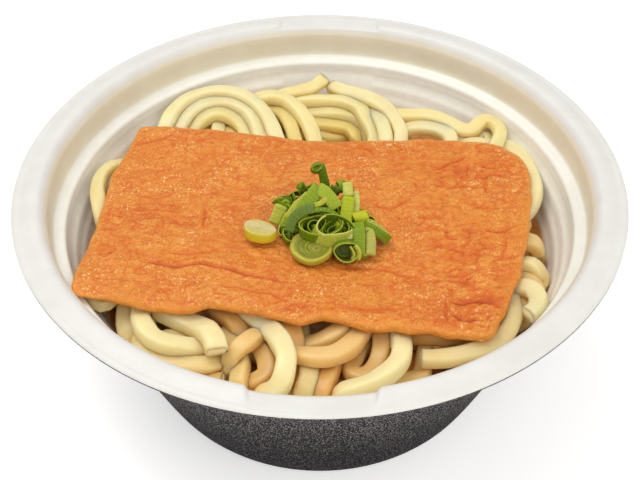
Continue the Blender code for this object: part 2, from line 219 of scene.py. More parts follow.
def grid_faces(rows, columns, wrap=True, offset=0, flip=False):
    """Quads between consecutive rings of points."""
    faces = []
    for i in range(rows - 1):
        for j in range(columns if wrap else columns - 1):
            k = (j + 1) % columns
            a, b = offset + i * columns + j, offset + i * columns + k
            c, d = offset + (i + 1) * columns + k, offset + (i + 1) * columns + j
            faces.append((a, d, c, b) if flip else (a, b, c, d))
    return faces


# ---- materials ----------------------------------------------------------------
class Finish:
    """A Principled material with short calls for its nodes."""

    def __init__(self, name, **values):
        self.material = bpy.data.materials.new(name)
        self.material.use_nodes = True
        self.nodes, self.links = self.material.node_tree.nodes, self.material.node_tree.links
        self.shader = self.nodes["Principled BSDF"]
        for key, value in values.items():
            self.shader.inputs[key.replace("_", " ")].default_value = value
        place = self.nodes.new("ShaderNodeTexCoord")
        scaled = self.nodes.new("ShaderNodeVectorMath")
        scaled.operation = "SCALE"
        scaled.inputs["Scale"].default_value = 1 / MM
        self.links.new(place.outputs["Object"], scaled.inputs[0])
        self.place = scaled.outputs[0]  # position in millimetres

    def socket(self, target, value):
        if isinstance(value, bpy.types.NodeSocket):
            self.links.new(value, target)
        else:
            target.default_value = value

    def stretch(self, scale, turn=0.0):
        made = self.nodes.new("ShaderNodeMapping")
        made.inputs["Scale"].default_value = scale
        made.inputs["Rotation"].default_value = (0, 0, turn)
        self.links.new(self.place, made.inputs["Vector"])
        return made.outputs["Vector"]

    def noise(self, size, detail=2.0, rough=0.5, warp=0.0, place=None):
        made = self.nodes.new("ShaderNodeTexNoise")
        made.inputs["Scale"].default_value = 1.0 / size
        made.inputs["Detail"].default_value = detail
        made.inputs["Roughness"].default_value = rough
        made.inputs["Distortion"].default_value = warp
        self.links.new(place or self.place, made.inputs["Vector"])
        return made.outputs["Fac"]

    def cells(self, size, feature="F1", out="Distance", place=None, smooth=None):
        made = self.nodes.new("ShaderNodeTexVoronoi")
        made.feature = feature
        made.inputs["Scale"].default_value = 1.0 / size
        self.links.new(place or self.place, made.inputs["Vector"])
        return made.outputs[out]

    def ramp(self, value, stops):
        made = self.nodes.new("ShaderNodeValToRGB")
        ramp = made.color_ramp
        while len(ramp.elements) < len(stops):
            ramp.elements.new(0.5)
        for element, (at, colour) in zip(ramp.elements, stops):
            element.position = at
            element.color = (*colour, 1.0) if len(colour) == 3 else colour
        self.links.new(value, made.inputs["Fac"])
        return made.outputs["Color"]

    def levels(self, value, lo, hi, to_lo=0.0, to_hi=1.0):
        made = self.nodes.new("ShaderNodeMapRange")
        made.inputs["From Min"].default_value = lo
        made.inputs["From Max"].default_value = hi
        made.inputs["To Min"].default_value = to_lo
        made.inputs["To Max"].default_value = to_hi
        self.links.new(value, made.inputs["Value"])
        return made.outputs["Result"]

    def maths(self, operation, a, b=0.0):
        made = self.nodes.new("ShaderNodeMath")
        made.operation = operation
        self.socket(made.inputs[0], a)
        self.socket(made.inputs[1], b)
        return made.outputs[0]

    def mix(self, share, a, b, kind="MIX"):
        made = self.nodes.new("ShaderNodeMix")
        made.data_type = "RGBA"
        made.blend_type = kind
        self.socket(made.inputs[0], share)
        for target, value in ((made.inputs[6], a), (made.inputs[7], b)):
            self.socket(target, value if isinstance(value, bpy.types.NodeSocket)
                        else (*value, 1.0))
        return made.outputs[2]

    def attribute(self, name, out="Fac"):
        made = self.nodes.new("ShaderNodeAttribute")
        made.attribute_name = name
        return made.outputs[out]

    def axis(self, name):
        made = self.nodes.new("ShaderNodeSeparateXYZ")
        self.links.new(self.place, made.inputs[0])
        return made.outputs[name]

    def bump(self, height, depth, after=None):
        """Relief of the given depth in millimetres over the height's 0 to 1."""
        made = self.nodes.new("ShaderNodeBump")
        made.inputs["Strength"].default_value = 1.0
        made.inputs["Distance"].default_value = depth * MM
        self.links.new(height, made.inputs["Height"])
        if after:
            self.links.new(after, made.inputs["Normal"])
        return made.outputs["Normal"]

    def set(self, **sockets):
        for key, value in sockets.items():
            self.socket(self.shader.inputs[key.replace("_", " ")], value)
        return self.material


# ---- bowl ---------------------------------------------------------------------
def sampled(points, step):
    """The polyline's points at even steps along it."""
    points = np.array(points, float)
    along = np.concatenate([[0], np.cumsum(np.hypot(*np.diff(points, axis=0).T))])
    at = np.linspace(0, along[-1], max(2, int(round(along[-1] / step)) + 1))
    return np.c_[np.interp(at, along, points[:, 0]), np.interp(at, along, points[:, 1])]


def softened(points, step, radius):
    """The polyline with its corners rounded over about the radius."""
    fine = sampled(points, step)
    reach = int(3 * radius / step)
    weights = np.exp(-0.5 * (np.arange(-reach, reach + 1) * step / radius) ** 2)
    weights /= weights.sum()
    padded = np.concatenate([2 * fine[0] - fine[1:reach + 1][::-1], fine,
                             2 * fine[-1] - fine[-reach - 1:-1][::-1]])
    return np.c_[np.convolve(padded[:, 0], weights, "valid"),
                 np.convolve(padded[:, 1], weights, "valid")]


def ridge(z):
    """The moulded rings' saw-tooth: a short step out, then a long slope back."""
    phase = ((z - (RIDGE_TOP - RIDGE_PITCH * RIDGES)) % RIDGE_PITCH) / RIDGE_PITCH
    rise = np.where(phase < 0.3, -0.5 + phase / 0.3, 0.5 - (phase - 0.3) / 0.7)
    zone = smoothstep(RIDGE_TOP - RIDGE_PITCH * RIDGES - 0.3,
                      RIDGE_TOP - RIDGE_PITCH * RIDGES + 0.3, z) * (1 - smoothstep(57.0, 57.6, z))
    return RIDGE_DEEP * 0.80 * rise * zone


def bowl_rows():
    inside = [(0.0, FLOOR_Z), (47.5, FLOOR_Z)]
    inside += [inner_wall(t) for t in np.linspace(0.97, 0.08, 40) if inner_wall(t)[1] < 57.3]
    rim = [(75.3, 58.2), (75.5, 59.3), (LEDGE_IN, LEDGE_Z), (LEDGE_OUT, LEDGE_Z + 0.3),
           (79.3, 61.3), (79.6, 66.0), (79.9, 67.9), (80.8, 69.5), (81.9, 70.6),
           (CREST_R, CREST_Z), (84.6, 70.85), (87.35, 70.05), (87.75, 69.85), (88.2, 70.1),
           (89.3, 69.85), (RIM_R, 69.35), (RIM_R, 68.9), (89.5, 68.6), (87.6, 67.6),
           (85.2, 66.2), (83.0, 64.2), (81.9, 62.2)]
    outside = [outer_wall(t) for t in np.linspace(0.0, 1.0, 40)] + [(FOOT_FLAT_R, 0.0), (0.0, 0.0)]
    fine = softened(inside + rim + outside, 0.1, 0.22)
    kept, last = [fine[0]], fine[0]
    for point in fine[1:]:
        r, z = point
        step = 0.45 if z > 58 and r > 74 else 0.62 if 40.5 < z < 58 and r > 60 else 2.2
        if math.hypot(*(point - last)) >= step:
            kept.append(point)
            last = point
    kept.append(fine[-1])
    return np.array(kept)


def columns():
    """Angles round the bowl, closer together at the ends of the rim's recesses."""
    angles = list(np.linspace(0, 2 * math.pi, 216, endpoint=False))
    for middle in (math.pi / 2 - NOTCH_BACK, -math.pi / 2 - NOTCH_FRONT):
        for side in (-1, 1):
            for degrees in np.arange(9.6, 14.2, 0.33):
                angles.append((middle + side * math.radians(degrees)) % (2 * math.pi))
    return np.array(sorted(set(np.round(angles, 5))))


rows, around = bowl_rows(), columns()
R, Z = np.repeat(rows[:, 0][:, None], len(around), 1), np.repeat(rows[:, 1][:, None], len(around), 1)
A = np.repeat(around[None], len(rows), 0)
lip = int(np.argmax((rows[:, 0] > 89.3) & (rows[:, 1] < 69.2)))  # first row of the dark outside
inner = np.arange(len(rows))[:, None] < int(np.argmax(rows[:, 0] > 75.35))
behind = np.sin(A) > 0
beside = np.abs(R * np.sin(A - math.pi / 2 + np.where(behind, NOTCH_BACK, NOTCH_FRONT)))
on_panel = (1 - smoothstep(14.6, 16.0, beside)) * behind
R = R + np.where(inner, ridge(Z) * (1 - on_panel), 0.0)
half = NOTCH_HALF - NOTCH_SLANT * (R - 72.0) / 19.5
above = (np.arange(len(rows))[:, None] < lip - 1) & (R > 79.0)
recess = smoothstep(-0.1, 1.5, half - beside) * above
low = NOTCH_FLOOR + 0.12 * (R - CREST_R) / 7
Z = (Z - recess * np.maximum(Z - low, 0.0) * (R < 87.5) * behind
     - recess * np.maximum(Z - 69.75, 0) * (R >= 87.5))
# the front one also bevels the rim's inner edge
bevelled = np.nonzero((np.arange(len(rows)) < lip) & (rows[:, 1] > 65.6) & (rows[:, 0] < 87.4))[0]
bevel = sampled([(79.6, 65.6), (79.66, 66.3), (80.2, 66.95), (82.4, 69.3), (83.2, 69.7), (86.9, 69.75),
                 (87.35, 69.8)], 0.1)
bevel = bevel[np.round(np.linspace(0, len(bevel) - 1, len(bevelled))).astype(int)]
share = (recess * ~behind)[bevelled]
R[bevelled] += share * (bevel[:, :1] - R[bevelled])
Z[bevelled] += share * (bevel[:, 1:] - Z[bevelled])
points = np.c_[(R * np.cos(A)).ravel(), (R * np.sin(A)).ravel(), Z.ravel()]
count = len(around)
middle_in, middle_out = len(points), len(points) + 1
keep = slice(count, -count)
faces = grid_faces(len(rows) - 2, count, offset=0)
points = points[keep]
middle_in, middle_out = len(points), len(points) + 1
points = np.r_[points, [[0, 0, FLOOR_Z]], [[0, 0, 0]]]
faces += [(middle_in, j, (j + 1) % count) for j in range(count)]
last = (len(rows) - 3) * count
faces += [(middle_out, last + (j + 1) % count, last + j) for j in range(count)]
dark = [1 if k // count >= lip - 2 and k < (len(rows) - 3) * count else 0 for k in range(len(faces))]
dark[-count:] = [1] * count

foam = Finish("foam_white", Roughness=0.45, IOR=1.45, Coat_Weight=0.10, Coat_Roughness=0.25)
mottle = foam.noise(9.0, 3.0, 0.55)
beads = foam.cells(1.9, "SMOOTH_F1")
white = foam.mix(foam.levels(mottle, 0.35, 0.65), (0.700, 0.693, 0.658), (0.740, 0.737, 0.710))
# painted light: the inner wall below the ledge is made brighter and yellower than the rim, standing in for light
# through the foam and warm light off the noodles
lit_wall = foam.mix(foam.levels(mottle, 0.35, 0.65), (0.850, 0.845, 0.770), (0.885, 0.885, 0.820))
# painted shade: the rim's steep inner wall, from about 60.9 to 68.2 mm, is made darker and yellower than the rim's top,
# as the shade on it
band = foam.mix(foam.levels(mottle, 0.35, 0.65), (0.770, 0.715, 0.545), (0.810, 0.765, 0.610))
height = foam.axis("Z")
white = foam.mix(foam.levels(height, 69.6, 68.2), white, band)
white = foam.mix(foam.levels(height, 60.9, 60.3), white, lit_wall)
white = foam.mix(foam.levels(beads, 0.1, 0.8, 0.0, 0.20), white, (0.68, 0.66, 0.60))
relief = foam.bump(beads, 0.035)
relief = foam.bump(foam.noise(14.0, 2.0, place=foam.stretch((1.0, 1.0, 0.25))), 0.12, relief)
foam_white = foam.set(Base_Color=white, Normal=relief)

coat = Finish("foam_charcoal", Roughness=0.85, IOR=1.45, Specular_IOR_Level=0.12)
speck = coat.noise(0.40, 0.0, 0.5)
fine = coat.noise(0.9, 1.0, 0.5)
grey = coat.ramp(speck, [(0.42, (0.003, 0.002, 0.002)), (0.52, (0.014, 0.011, 0.012)),
                         (0.59, (0.075, 0.063, 0.065)), (0.68, (0.430, 0.400, 0.395))])
grey = coat.mix(coat.levels(fine, 0.42, 0.62, 0.0, 0.25), grey, (0.020, 0.016, 0.017))
bloom = coat.noise(16.0, 3.0, 0.6)
grey = coat.mix(coat.levels(bloom, 0.45, 0.75, 0.0, 0.25), grey, (0.060, 0.051, 0.054))
# the top of the outside is mixed to a smoother, lighter grey, the lighter part painted light; towards the foot the
# outside is painted darker as shade
smooth_lit_top = coat.levels(coat.axis("Z"), 48.0, 64.0)
grey = coat.mix(coat.maths("MULTIPLY", smooth_lit_top, 0.55), grey, (0.095, 0.079, 0.082))
grey = coat.mix(coat.levels(coat.axis("Z"), 56.0, 14.0, 0.05, 0.95), grey, coat.mix(0.74, grey, (0.003, 0.002, 0.003)))
foam_charcoal = coat.set(Base_Color=grey, Normal=coat.bump(speck, 0.05))

bowl = piece("bowl_foam", points, faces, [foam_white, foam_charcoal], "bowl", dark)


# ---- broth --------------------------------------------------------------------
wall_at_level = float(room_radius(BROTH_Z)) + 0.35
level = [(0.0, BROTH_Z)] + [(r, BROTH_Z) for r in np.arange(4.0, 64.1, 4.0)]
level += [(66.6, BROTH_Z + 0.02), (67.6, BROTH_Z + 0.12), (68.2, BROTH_Z + 0.32), (wall_at_level, BROTH_Z + 0.5)]
deep = [(float(room_radius(z)) + 0.3, z) for z in (36.0, 28.0, 20.0, 12.0, 6.0)] + [(46.6, 3.1), (0.0, 3.1)]
turn = 128
ringed = (level + deep)[1:-1]
points = [(0.0, 0.0, BROTH_Z)]
for r, z in ringed:
    for j in range(turn):
        a = 2 * math.pi * j / turn
        swell = 0.10 * math.sin(r * math.cos(a) / 9 + 1) * math.cos(r * math.sin(a) / 7) if z > 43.9 and r < 66 else 0.0
        points.append((r * math.cos(a), r * math.sin(a), z + swell))
points.append((0.0, 0.0, deep[-1][1]))
faces = [(0, 1 + j, 1 + (j + 1) % turn) for j in range(turn)]
faces += grid_faces(len(ringed), turn, offset=1, flip=True)
last = 1 + (len(ringed) - 1) * turn
faces += [(len(points) - 1, last + (j + 1) % turn, last + j) for j in range(turn)]

soup = Finish("broth", Roughness=0.06, IOR=1.34, Specular_IOR_Level=0.55)
sunk = soup.noise(6.0, 2.0, 0.5, 1.2, soup.stretch((1.0, 0.55, 1.0), 0.5))
cloud = soup.noise(11.0, 2.0)
brown = soup.mix(soup.levels(sunk, 0.42, 0.62), (0.47, 0.165, 0.038), (0.68, 0.33, 0.105))
brown = soup.mix(soup.levels(cloud, 0.35, 0.7), brown, (0.56, 0.225, 0.058))
broth = piece("broth_surface", points, faces,
              [soup.set(Base_Color=brown, Normal=soup.bump(cloud, 0.25))], "broth")

# ---- noodles ------------------------------------------------------------------
# The noodles that show, each by its width and the points that its middle passes.
SHOWN = [
    ("f_pink_left", 5, [(-55, -30, 55), (-59, -34.5, 55), (-62, -37, 55.5), (-63.5, -35, 56.5), (-66, -31, 57)]),
    ("f_left_down", 5.8, [(-53.5, -29.5, 54), (-54, -35, 53), (-54, -40.5, 52), (-52.5, -45, 51), (-49.5, -47, 49)]),
    ("f_outer_arc", 5.4, [(-48.5, -31, 54), (-49.7, -38.5, 54.5), (-49.3, -44.5, 55), (-46.5, -49.5, 55), (-41.7, -51.5, 54.5), (-36.5, -51, 53), (-31.5, -49, 50.5), (-27, -46.5, 48)]),
    ("f_under_band", 5, [(-49.5, -48.5, 51), (-45.5, -52.3, 51), (-40.3, -54.3, 51), (-34.5, -55, 50.5), (-28.5, -55, 50), (-23.5, -51, 48)]),
    ("f_bright_a", 6.0, [(-46.5, -36.5, 54), (-42.5, -39.5, 54.8), (-38.2, -41.8, 55.6), (-34, -44.3, 56.6), (-30.6, -47.9, 57), (-28.7, -51.6, 56.2), (-27.9, -54, 54.2), (-27.7, -55, 52.2)]),
    ("f_bright_b", 4.8, [(-25.5, -54.5, 47), (-24, -54, 50.5), (-21.3, -51.8, 53.2), (-18, -48.5, 53.5), (-14.5, -42.5, 51.5)]),
    ("f_brown_back", 5, [(-33, -31, 52), (-29, -36, 52), (-25.5, -39.5, 51), (-22.5, -43, 49.5), (-19, -46.5, 47.5)]),
    ("f_rim_strip", 4.8, [(-40, -49.5, 47), (-33, -52.5, 47), (-27, -54.5, 47), (-22, -56.5, 47), (-17.5, -57.5, 46)]),
    ("f_short_down", 4.8, [(-24.5, -44, 49), (-23.5, -50.5, 49.5), (-22.5, -55.5, 49.5), (-21.5, -60.5, 49)]),
    ("f_c_arc", 5.6, [(-23, -33, 54), (-19, -39.5, 56), (-14.5, -46, 57.5), (-11, -52, 58), (-9, -57.5, 58), (-9, -61.5, 57), (-10, -65, 55), (-12, -66.5, 52.5), (-15.5, -67, 50)]),
    ("f_c_inner", 5, [(-18, -45, 50), (-15.5, -49.5, 51), (-14, -54, 51), (-14.5, -57.5, 50), (-17.5, -59, 49), (-21, -58.5, 47)]),
    ("f_c_right", 5, [(-16.5, -34.5, 53), (-12, -39.5, 53.5), (-8.5, -44.5, 53), (-6, -48.5, 51), (-4.5, -52, 49), (-4, -57.5, 47.5)]),
    ("f_mid_upper", 5.2, [(9, -38, 54), (7, -44, 54), (3, -47.5, 53.5), (-1, -49, 52), (-4.5, -49.5, 50), (-8, -51.5, 48)]),
    ("f_mid_lower", 5.4, [(15, -40, 54), (11.5, -47, 55), (7.5, -53.5, 55.5), (3, -56.5, 55), (-2, -56.5, 54), (-6, -54, 52), (-10, -51, 50)]),
    ("f_mid_down", 5.2, [(-5.5, -48.5, 49), (-3.5, -56.5, 51), (-3, -62, 51.5), (-4, -65.5, 50)]),
    ("f_mid_down2", 5, [(7.5, -49, 49.5), (4.5, -55.5, 51), (2.5, -60.5, 51), (1, -65, 50)]),
    ("f_u_curl", 4.8, [(16, -39, 53), (17, -45.5, 53), (17, -50.5, 52), (15.5, -55, 51), (12.5, -58.5, 50.5), (9, -58, 50.5), (7.5, -54, 50), (9, -47.5, 49), (12, -42.5, 47.5)]),
    ("f_e_arc", 5.5, [(21.5, -41, 55), (22.5, -49, 57), (22.5, -55, 58), (21.5, -60, 58), (18.5, -63.5, 57), (14.5, -65.5, 55.5), (10, -66.3, 54), (6, -66.5, 52.5)]),
    ("f_small_e", 4.8, [(14.5, -63, 49), (18.5, -62.5, 50), (23, -60.5, 50), (27.5, -58, 49)]),
    ("f_shadow_right", 5, [(24, -43.5, 50), (29.5, -45.5, 50.5), (35.5, -46, 50.5), (42.5, -44, 50), (48.5, -41, 50)]),
    ("f_long_right", 5, [(28, -54.8, 51.5), (32, -55, 52.5), (36.5, -54.5, 53.5), (41, -53.3, 54.5), (46, -51.5, 55.5), (50.5, -48, 56), (54, -43, 56), (55.5, -37, 55), (55, -31, 53)]),
    ("f_gap_right", 4.8, [(21, -60.5, 46), (26, -52, 46.5), (30, -46.5, 47), (35, -44.5, 47)]),
    ("r_below", 5.0, [(52, -24, 50), (57.5, -23, 51), (61.5, -24.5, 50.5), (63, -27.5, 48.5)]),
    ("r_curl", 5.2, [(53, -29.5, 54), (57.5, -30, 56), (60.5, -32.5, 57), (61.5, -37, 57.5), (60, -41, 57.5), (57.5, -42.5, 57), (55, -42, 56)]),
    ("r_curl_inner", 4.8, [(52, -31, 51), (56, -31, 52), (59, -33, 51.5), (60.5, -36, 50)]),
    ("r_upper3", 5.2, [(54, -20, 52.5), (59, -18.5, 53.5), (62, -19, 54), (64, -20.5, 52.5), (64.5, -22, 49)]),
    ("r_upper2", 5, [(55.5, -8, 52), (60, -8, 53), (63.3, -8.5, 53.2), (65, -8.5, 51), (65, -8.5, 47.5)]),
    ("r_upper1", 4.8, [(60, 36, 54), (63.2, 30.5, 55), (65.8, 23.5, 56), (66.6, 16, 56.5), (65.5, 10.5, 56), (63, 5.5, 55), (59, 1.5, 53)]),
    ("l_outer", 4.4, [(-60, 27, 54), (-65, 23.5, 56.5), (-67.5, 18.5, 57.5), (-68, 11.5, 58), (-67, 5, 58), (-65.5, -1, 57), (-62.5, -6, 55.5)]),
    ("b_arch1", 4.7, [(-50.5, 41.5, 55), (-49.5, 45, 56.5), (-47.5, 50, 58), (-43, 55.5, 59), (-36.5, 58, 59.5), (-29.5, 58, 59.5), (-24, 55.5, 59), (-19.5, 51, 58), (-16.5, 45.5, 57), (-14.5, 40, 56)]),
    ("b_arch2", 4.6, [(-47, 41.5, 54), (-45.5, 46, 55.5), (-42, 51, 57), (-36.5, 54, 58), (-30, 54, 58), (-24.5, 50.5, 57.5), (-21.5, 45.5, 56.5), (-20, 40, 55)]),
    ("b_arch3", 4.5, [(-42.5, 42.5, 52), (-41, 47, 54), (-37, 50, 55.5), (-31.5, 50.5, 56), (-27, 48.5, 55.5), (-24.5, 45, 54.5), (-23, 40, 53)]),
    ("b_small", 4.4, [(-31.5, 61.5, 50), (-33, 54, 52.5), (-33.5, 47.5, 53.5), (-33, 39.5, 54)]),
    ("b_tan", 4.8, [(-38.5, 45.5, 50), (-35.5, 51.5, 51), (-31.5, 52, 51.5), (-29.5, 46, 52), (-28.5, 38.5, 52)]),
    ("b_mid_arch", 4.7, [(-20.5, 57.5, 57), (-16.5, 57.5, 58), (-12, 55.5, 58.5), (-8.5, 52, 58.5), (-5.5, 47.5, 58), (-3.5, 43.5, 57), (-2, 38, 56)]),
    ("b_mid_gold", 4.6, [(-18, 57, 54), (-14.5, 55, 55), (-11.5, 51, 55.5), (-9.5, 46, 55), (-8, 39.5, 54)]),
    ("b_peak", 4.2, [(-14, 60.5, 55.5), (-7, 61, 57), (-2.5, 63, 57.5), (0.5, 65.5, 58), (2.5, 68, 58.5)]),
    ("b_peak_right", 4.4, [(2.5, 67, 57.5), (5.5, 63.5, 57.5), (10, 59.5, 57.5), (15, 55.5, 57.5), (19.5, 51, 57.5), (23.5, 46, 57.5), (26, 40, 57)]),
    ("b_horiz1", 4.6, [(-8, 58.5, 55), (-3, 58, 56), (3, 57.5, 56.5), (9, 56.5, 56.5), (13.5, 54, 56), (16, 49, 55), (18, 42, 54)]),
    ("b_horiz2", 4.6, [(-6, 56, 53), (0, 55, 54), (6, 54, 54.5), (10.5, 53, 54), (14, 50, 53), (15.5, 45, 52)]),
    ("b_horiz3", 4.6, [(-6, 52, 51), (-1, 51, 52), (6, 50.5, 52), (11, 49.5, 51.5), (14, 45.5, 51)]),
    ("b_diag1", 4.6, [(12, 59.5, 54.5), (16, 54, 56), (18.5, 46.5, 56.5), (20.5, 38.5, 56)]),
    ("b_wavy", 4.3, [(23.5, 52.5, 54), (29, 51.5, 55), (34, 50, 56), (38.5, 48, 56), (42.5, 45.5, 55.5), (46, 43.5, 55), (49, 43.5, 55), (51, 45.5, 55.5), (53.5, 47.5, 56), (56, 47, 56), (57.5, 44, 56), (58, 39.5, 55), (56, 33, 54)]),
    ("b_wavy_in", 4.4, [(27.5, 46.5, 53), (31.5, 47, 54), (36, 46.5, 54.5), (40, 44.5, 54.5), (43, 40, 54)]),
    ("b_loop_in", 4.8, [(50, 39, 51), (51.5, 43, 52), (54, 45.5, 52.5), (55.5, 43, 52.5), (57.5, 38.5, 52)]),]
# pools where the broth shows between the noodles: x, y, radius
POOLS = [(-60.5, -33.5, 5.0), (-19.5, -50.0, 4.0), (12.0, -50.0, 5.5), (27.0, -53.0, 5.5),
         (66.0, 13.0, 5.5), (-26.0, 55.5, 4.0), (59.5, -37.0, 4.0), (-69.0, 13.0, 4.0),
         (29.5, 58.5, 4.5), (-67.0, -6.0, 6.0), (0.0, -60.0, 3.0), (-5.0, -45.5, 3.0), (-46.5, -36.0, 3.0)]
FLAT = 0.80        # a noodle's height over its width
# cut ends that lie in the open: side 0 is a noodle's first end, side 1 its last
SHOWN_ENDS = {("b_peak", 1), ("b_peak_right", 0), ("f_long_right", 0), ("r_curl", 1), ("f_bright_a", 1)}
# how brown the shown noodles are made: partly the broth's stain on the ones that soak low, partly painted shade, warmed
# orange, on the ones under the tofu's edge
SOAK_AND_SHADE = {"f_brown_back": 0.75, "f_rim_strip": 0.50, "f_under_band": 0.22, "f_gap_right": 1.0,
          "f_shadow_right": 0.9, "f_mid_down2": 0.75, "f_c_inner": 0.60, "f_small_e": 0.35, "b_tan": 0.4,
          "b_mid_gold": 0.40, "b_horiz2": 0.25, "b_horiz3": 0.50, "b_small": 0.05,
          "f_c_right": 0.80, "f_pink_left": 0.18, "r_curl_inner": 0.50, "f_mid_down": 0.22,
          "f_short_down": 0.40, "f_left_down": 0.12, "b_arch3": 0.25, "f_mid_upper": 0.50, "f_mid_lower": 0.47, "r_below": 0.40,
          "f_u_curl": 0.60, "f_bright_b": 0.48, "r_upper2": 0.35, "f_long_right": 0.18, "f_bright_a": 0.0,
          "f_c_arc": 0.0, "f_e_arc": 0.0, "f_outer_arc": 0.03}


def spline(points, step):
    """A smooth curve through the points, sampled at even steps."""
    p = np.array(points, float)
    p = np.concatenate([2 * p[:1] - p[1:2], p, 2 * p[-1:] - p[-2:-1]])
    out = []
    for i in range(1, len(p) - 2):
        t = np.linspace(0, 1, 16, endpoint=False)[:, None]
        a, b, c, d = p[i - 1], p[i], p[i + 1], p[i + 2]
        out.append(0.5 * (2 * b + (c - a) * t + (2 * a - 5 * b + 4 * c - d) * t ** 2
                          + (3 * b - a - 3 * c + d) * t ** 3))
    out = np.concatenate(out + [p[-2:-1]])
    along = np.concatenate([[0], np.cumsum(np.linalg.norm(np.diff(out, axis=0), axis=1))])
    at = np.linspace(0, along[-1], max(4, int(round(along[-1] / step)) + 1))
    return np.stack([np.interp(at, along, out[:, k]) for k in range(3)], 1)


def wander(random, start, heading, length, height):
    """A loose noodle that winds round the heap, between the wall and the tofu's middle."""
    at, path, bend, turned = np.array(start, float), [], random.normal(0, 0.12), 0.0
    lean = random.uniform(-3, 3)
    for k in range(int(length / 3.0)):
        path.append((at[0], at[1], height + lean * math.sin(k / 4.0) * 0.35))
        r = math.hypot(*at)
        outward = math.atan2(at[1], at[0])
        crowd = max(0.0, r - (float(room_radius(height)) - 6.0)) / 4.0
        under = max(0.0, -float(outside_tofu(at[0], at[1])) - 9.0) / 6.0
        away = math.sin(outward + math.pi - heading) * crowd + math.sin(outward - heading) * under
        bend = 0.82 * bend + random.normal(0, 0.085)
        heading += bend + 0.55 * away
        ahead = at + 3.0 * np.array([math.cos(heading), math.sin(heading)])
        if any(math.hypot(ahead[0] - x, ahead[1] - y) < radius + 2.0 for x, y, radius in POOLS):
            heading += 0.9 if math.sin(heading - outward) > 0 else -0.9
            ahead = at + 3.0 * np.array([math.cos(heading), math.sin(heading)])
            if any(math.hypot(ahead[0] - x, ahead[1] - y) < radius + 1.0 for x, y, radius in POOLS):
                break
        at = ahead
    return path


def tucked(name, through):
    """The noodle with its ends led on out of sight: under the tofu where they meet it,
    otherwise down into the broth. Only the ends named in SHOWN_ENDS stay as they are."""
    for side in (0, 1):
        through = through[::-1]
        if (name, side) in SHOWN_ENDS:
            continue
        end, before = np.array(through[-1], float), np.array(through[-2], float)
        beyond = float(outside_tofu(end[0], end[1]))
        if beyond < -12.0:
            continue
        way = (end - before)[:2] / (np.linalg.norm((end - before)[:2]) + 1e-6)
        outward = end[:2] / np.linalg.norm(end[:2])
        if beyond > 12.0:
            way = way * 0.7 + outward * 0.3
            steps = ((2.6, end[2] - 2.8), (4.6, end[2] - 6.0), (6.6, min(end[2] - 8.0, 41.5)))
        else:
            way = way * 0.6 - outward * 0.7
            way /= np.linalg.norm(way)
            reach = max(beyond, 0.0)
            low = min(end[2], 52.0)
            steps = ((4.0 + 0.4 * reach, 0.65 * end[2] + 0.35 * low),
                     (8.5 + 0.7 * reach, 0.25 * end[2] + 0.75 * low), (13.0 + reach, low))
        for reach, z in steps:
            x, y = end[:2] + way * reach
            through = through + [(x, y, max(z, 41.5))]
    return through


random = np.random.default_rng(20)
strands = []  # dicts: points, width, loose
for name, width, through in SHOWN:
    strands.append({"at": spline(tucked(name, through), 1.5), "width": width * 1.05, "loose": 0.16,
                    "soak_and_shade": SOAK_AND_SHADE.get(name, random.uniform(0.0, 0.22))})
for height, count, length in ((45.2, 20, 78.0), (48.4, 22, 66.0)):
    for k in range(count):
        angle = 2 * math.pi * (k + random.uniform(-0.3, 0.3)) / count
        r = random.uniform(50, 63)
        start = (r * math.cos(angle), r * math.sin(angle))
        if any(math.hypot(start[0] - x, start[1] - y) < radius + 2.5 for x, y, radius in POOLS):
            continue
        heading = angle + math.pi / 2 * random.choice((-1, 1)) + random.normal(0, 0.5)
        path = wander(random, start, heading, length * random.uniform(0.7, 1.3), height)
        if len(path) >= 5:
            strands.append({"at": spline(path, 2.0), "width": random.uniform(4.6, 5.3), "loose": 1.0,
                            "soak_and_shade": random.uniform(0.35, 1.0)})

table_x = np.arange(-92.0, 92.5, 1.0)
gx, gy = np.meshgrid(table_x, table_x, indexing="ij")
beyond_table = outside_tofu(gx, gy)
tofu_low_table = tofu_bottom(gx, gy)


def looked_up(table, x, y):
    i = np.clip(np.round(x + 92).astype(int), 0, len(table_x) - 1)
    j = np.clip(np.round(y + 92).astype(int), 0, len(table_x) - 1)
    return table[i, j]


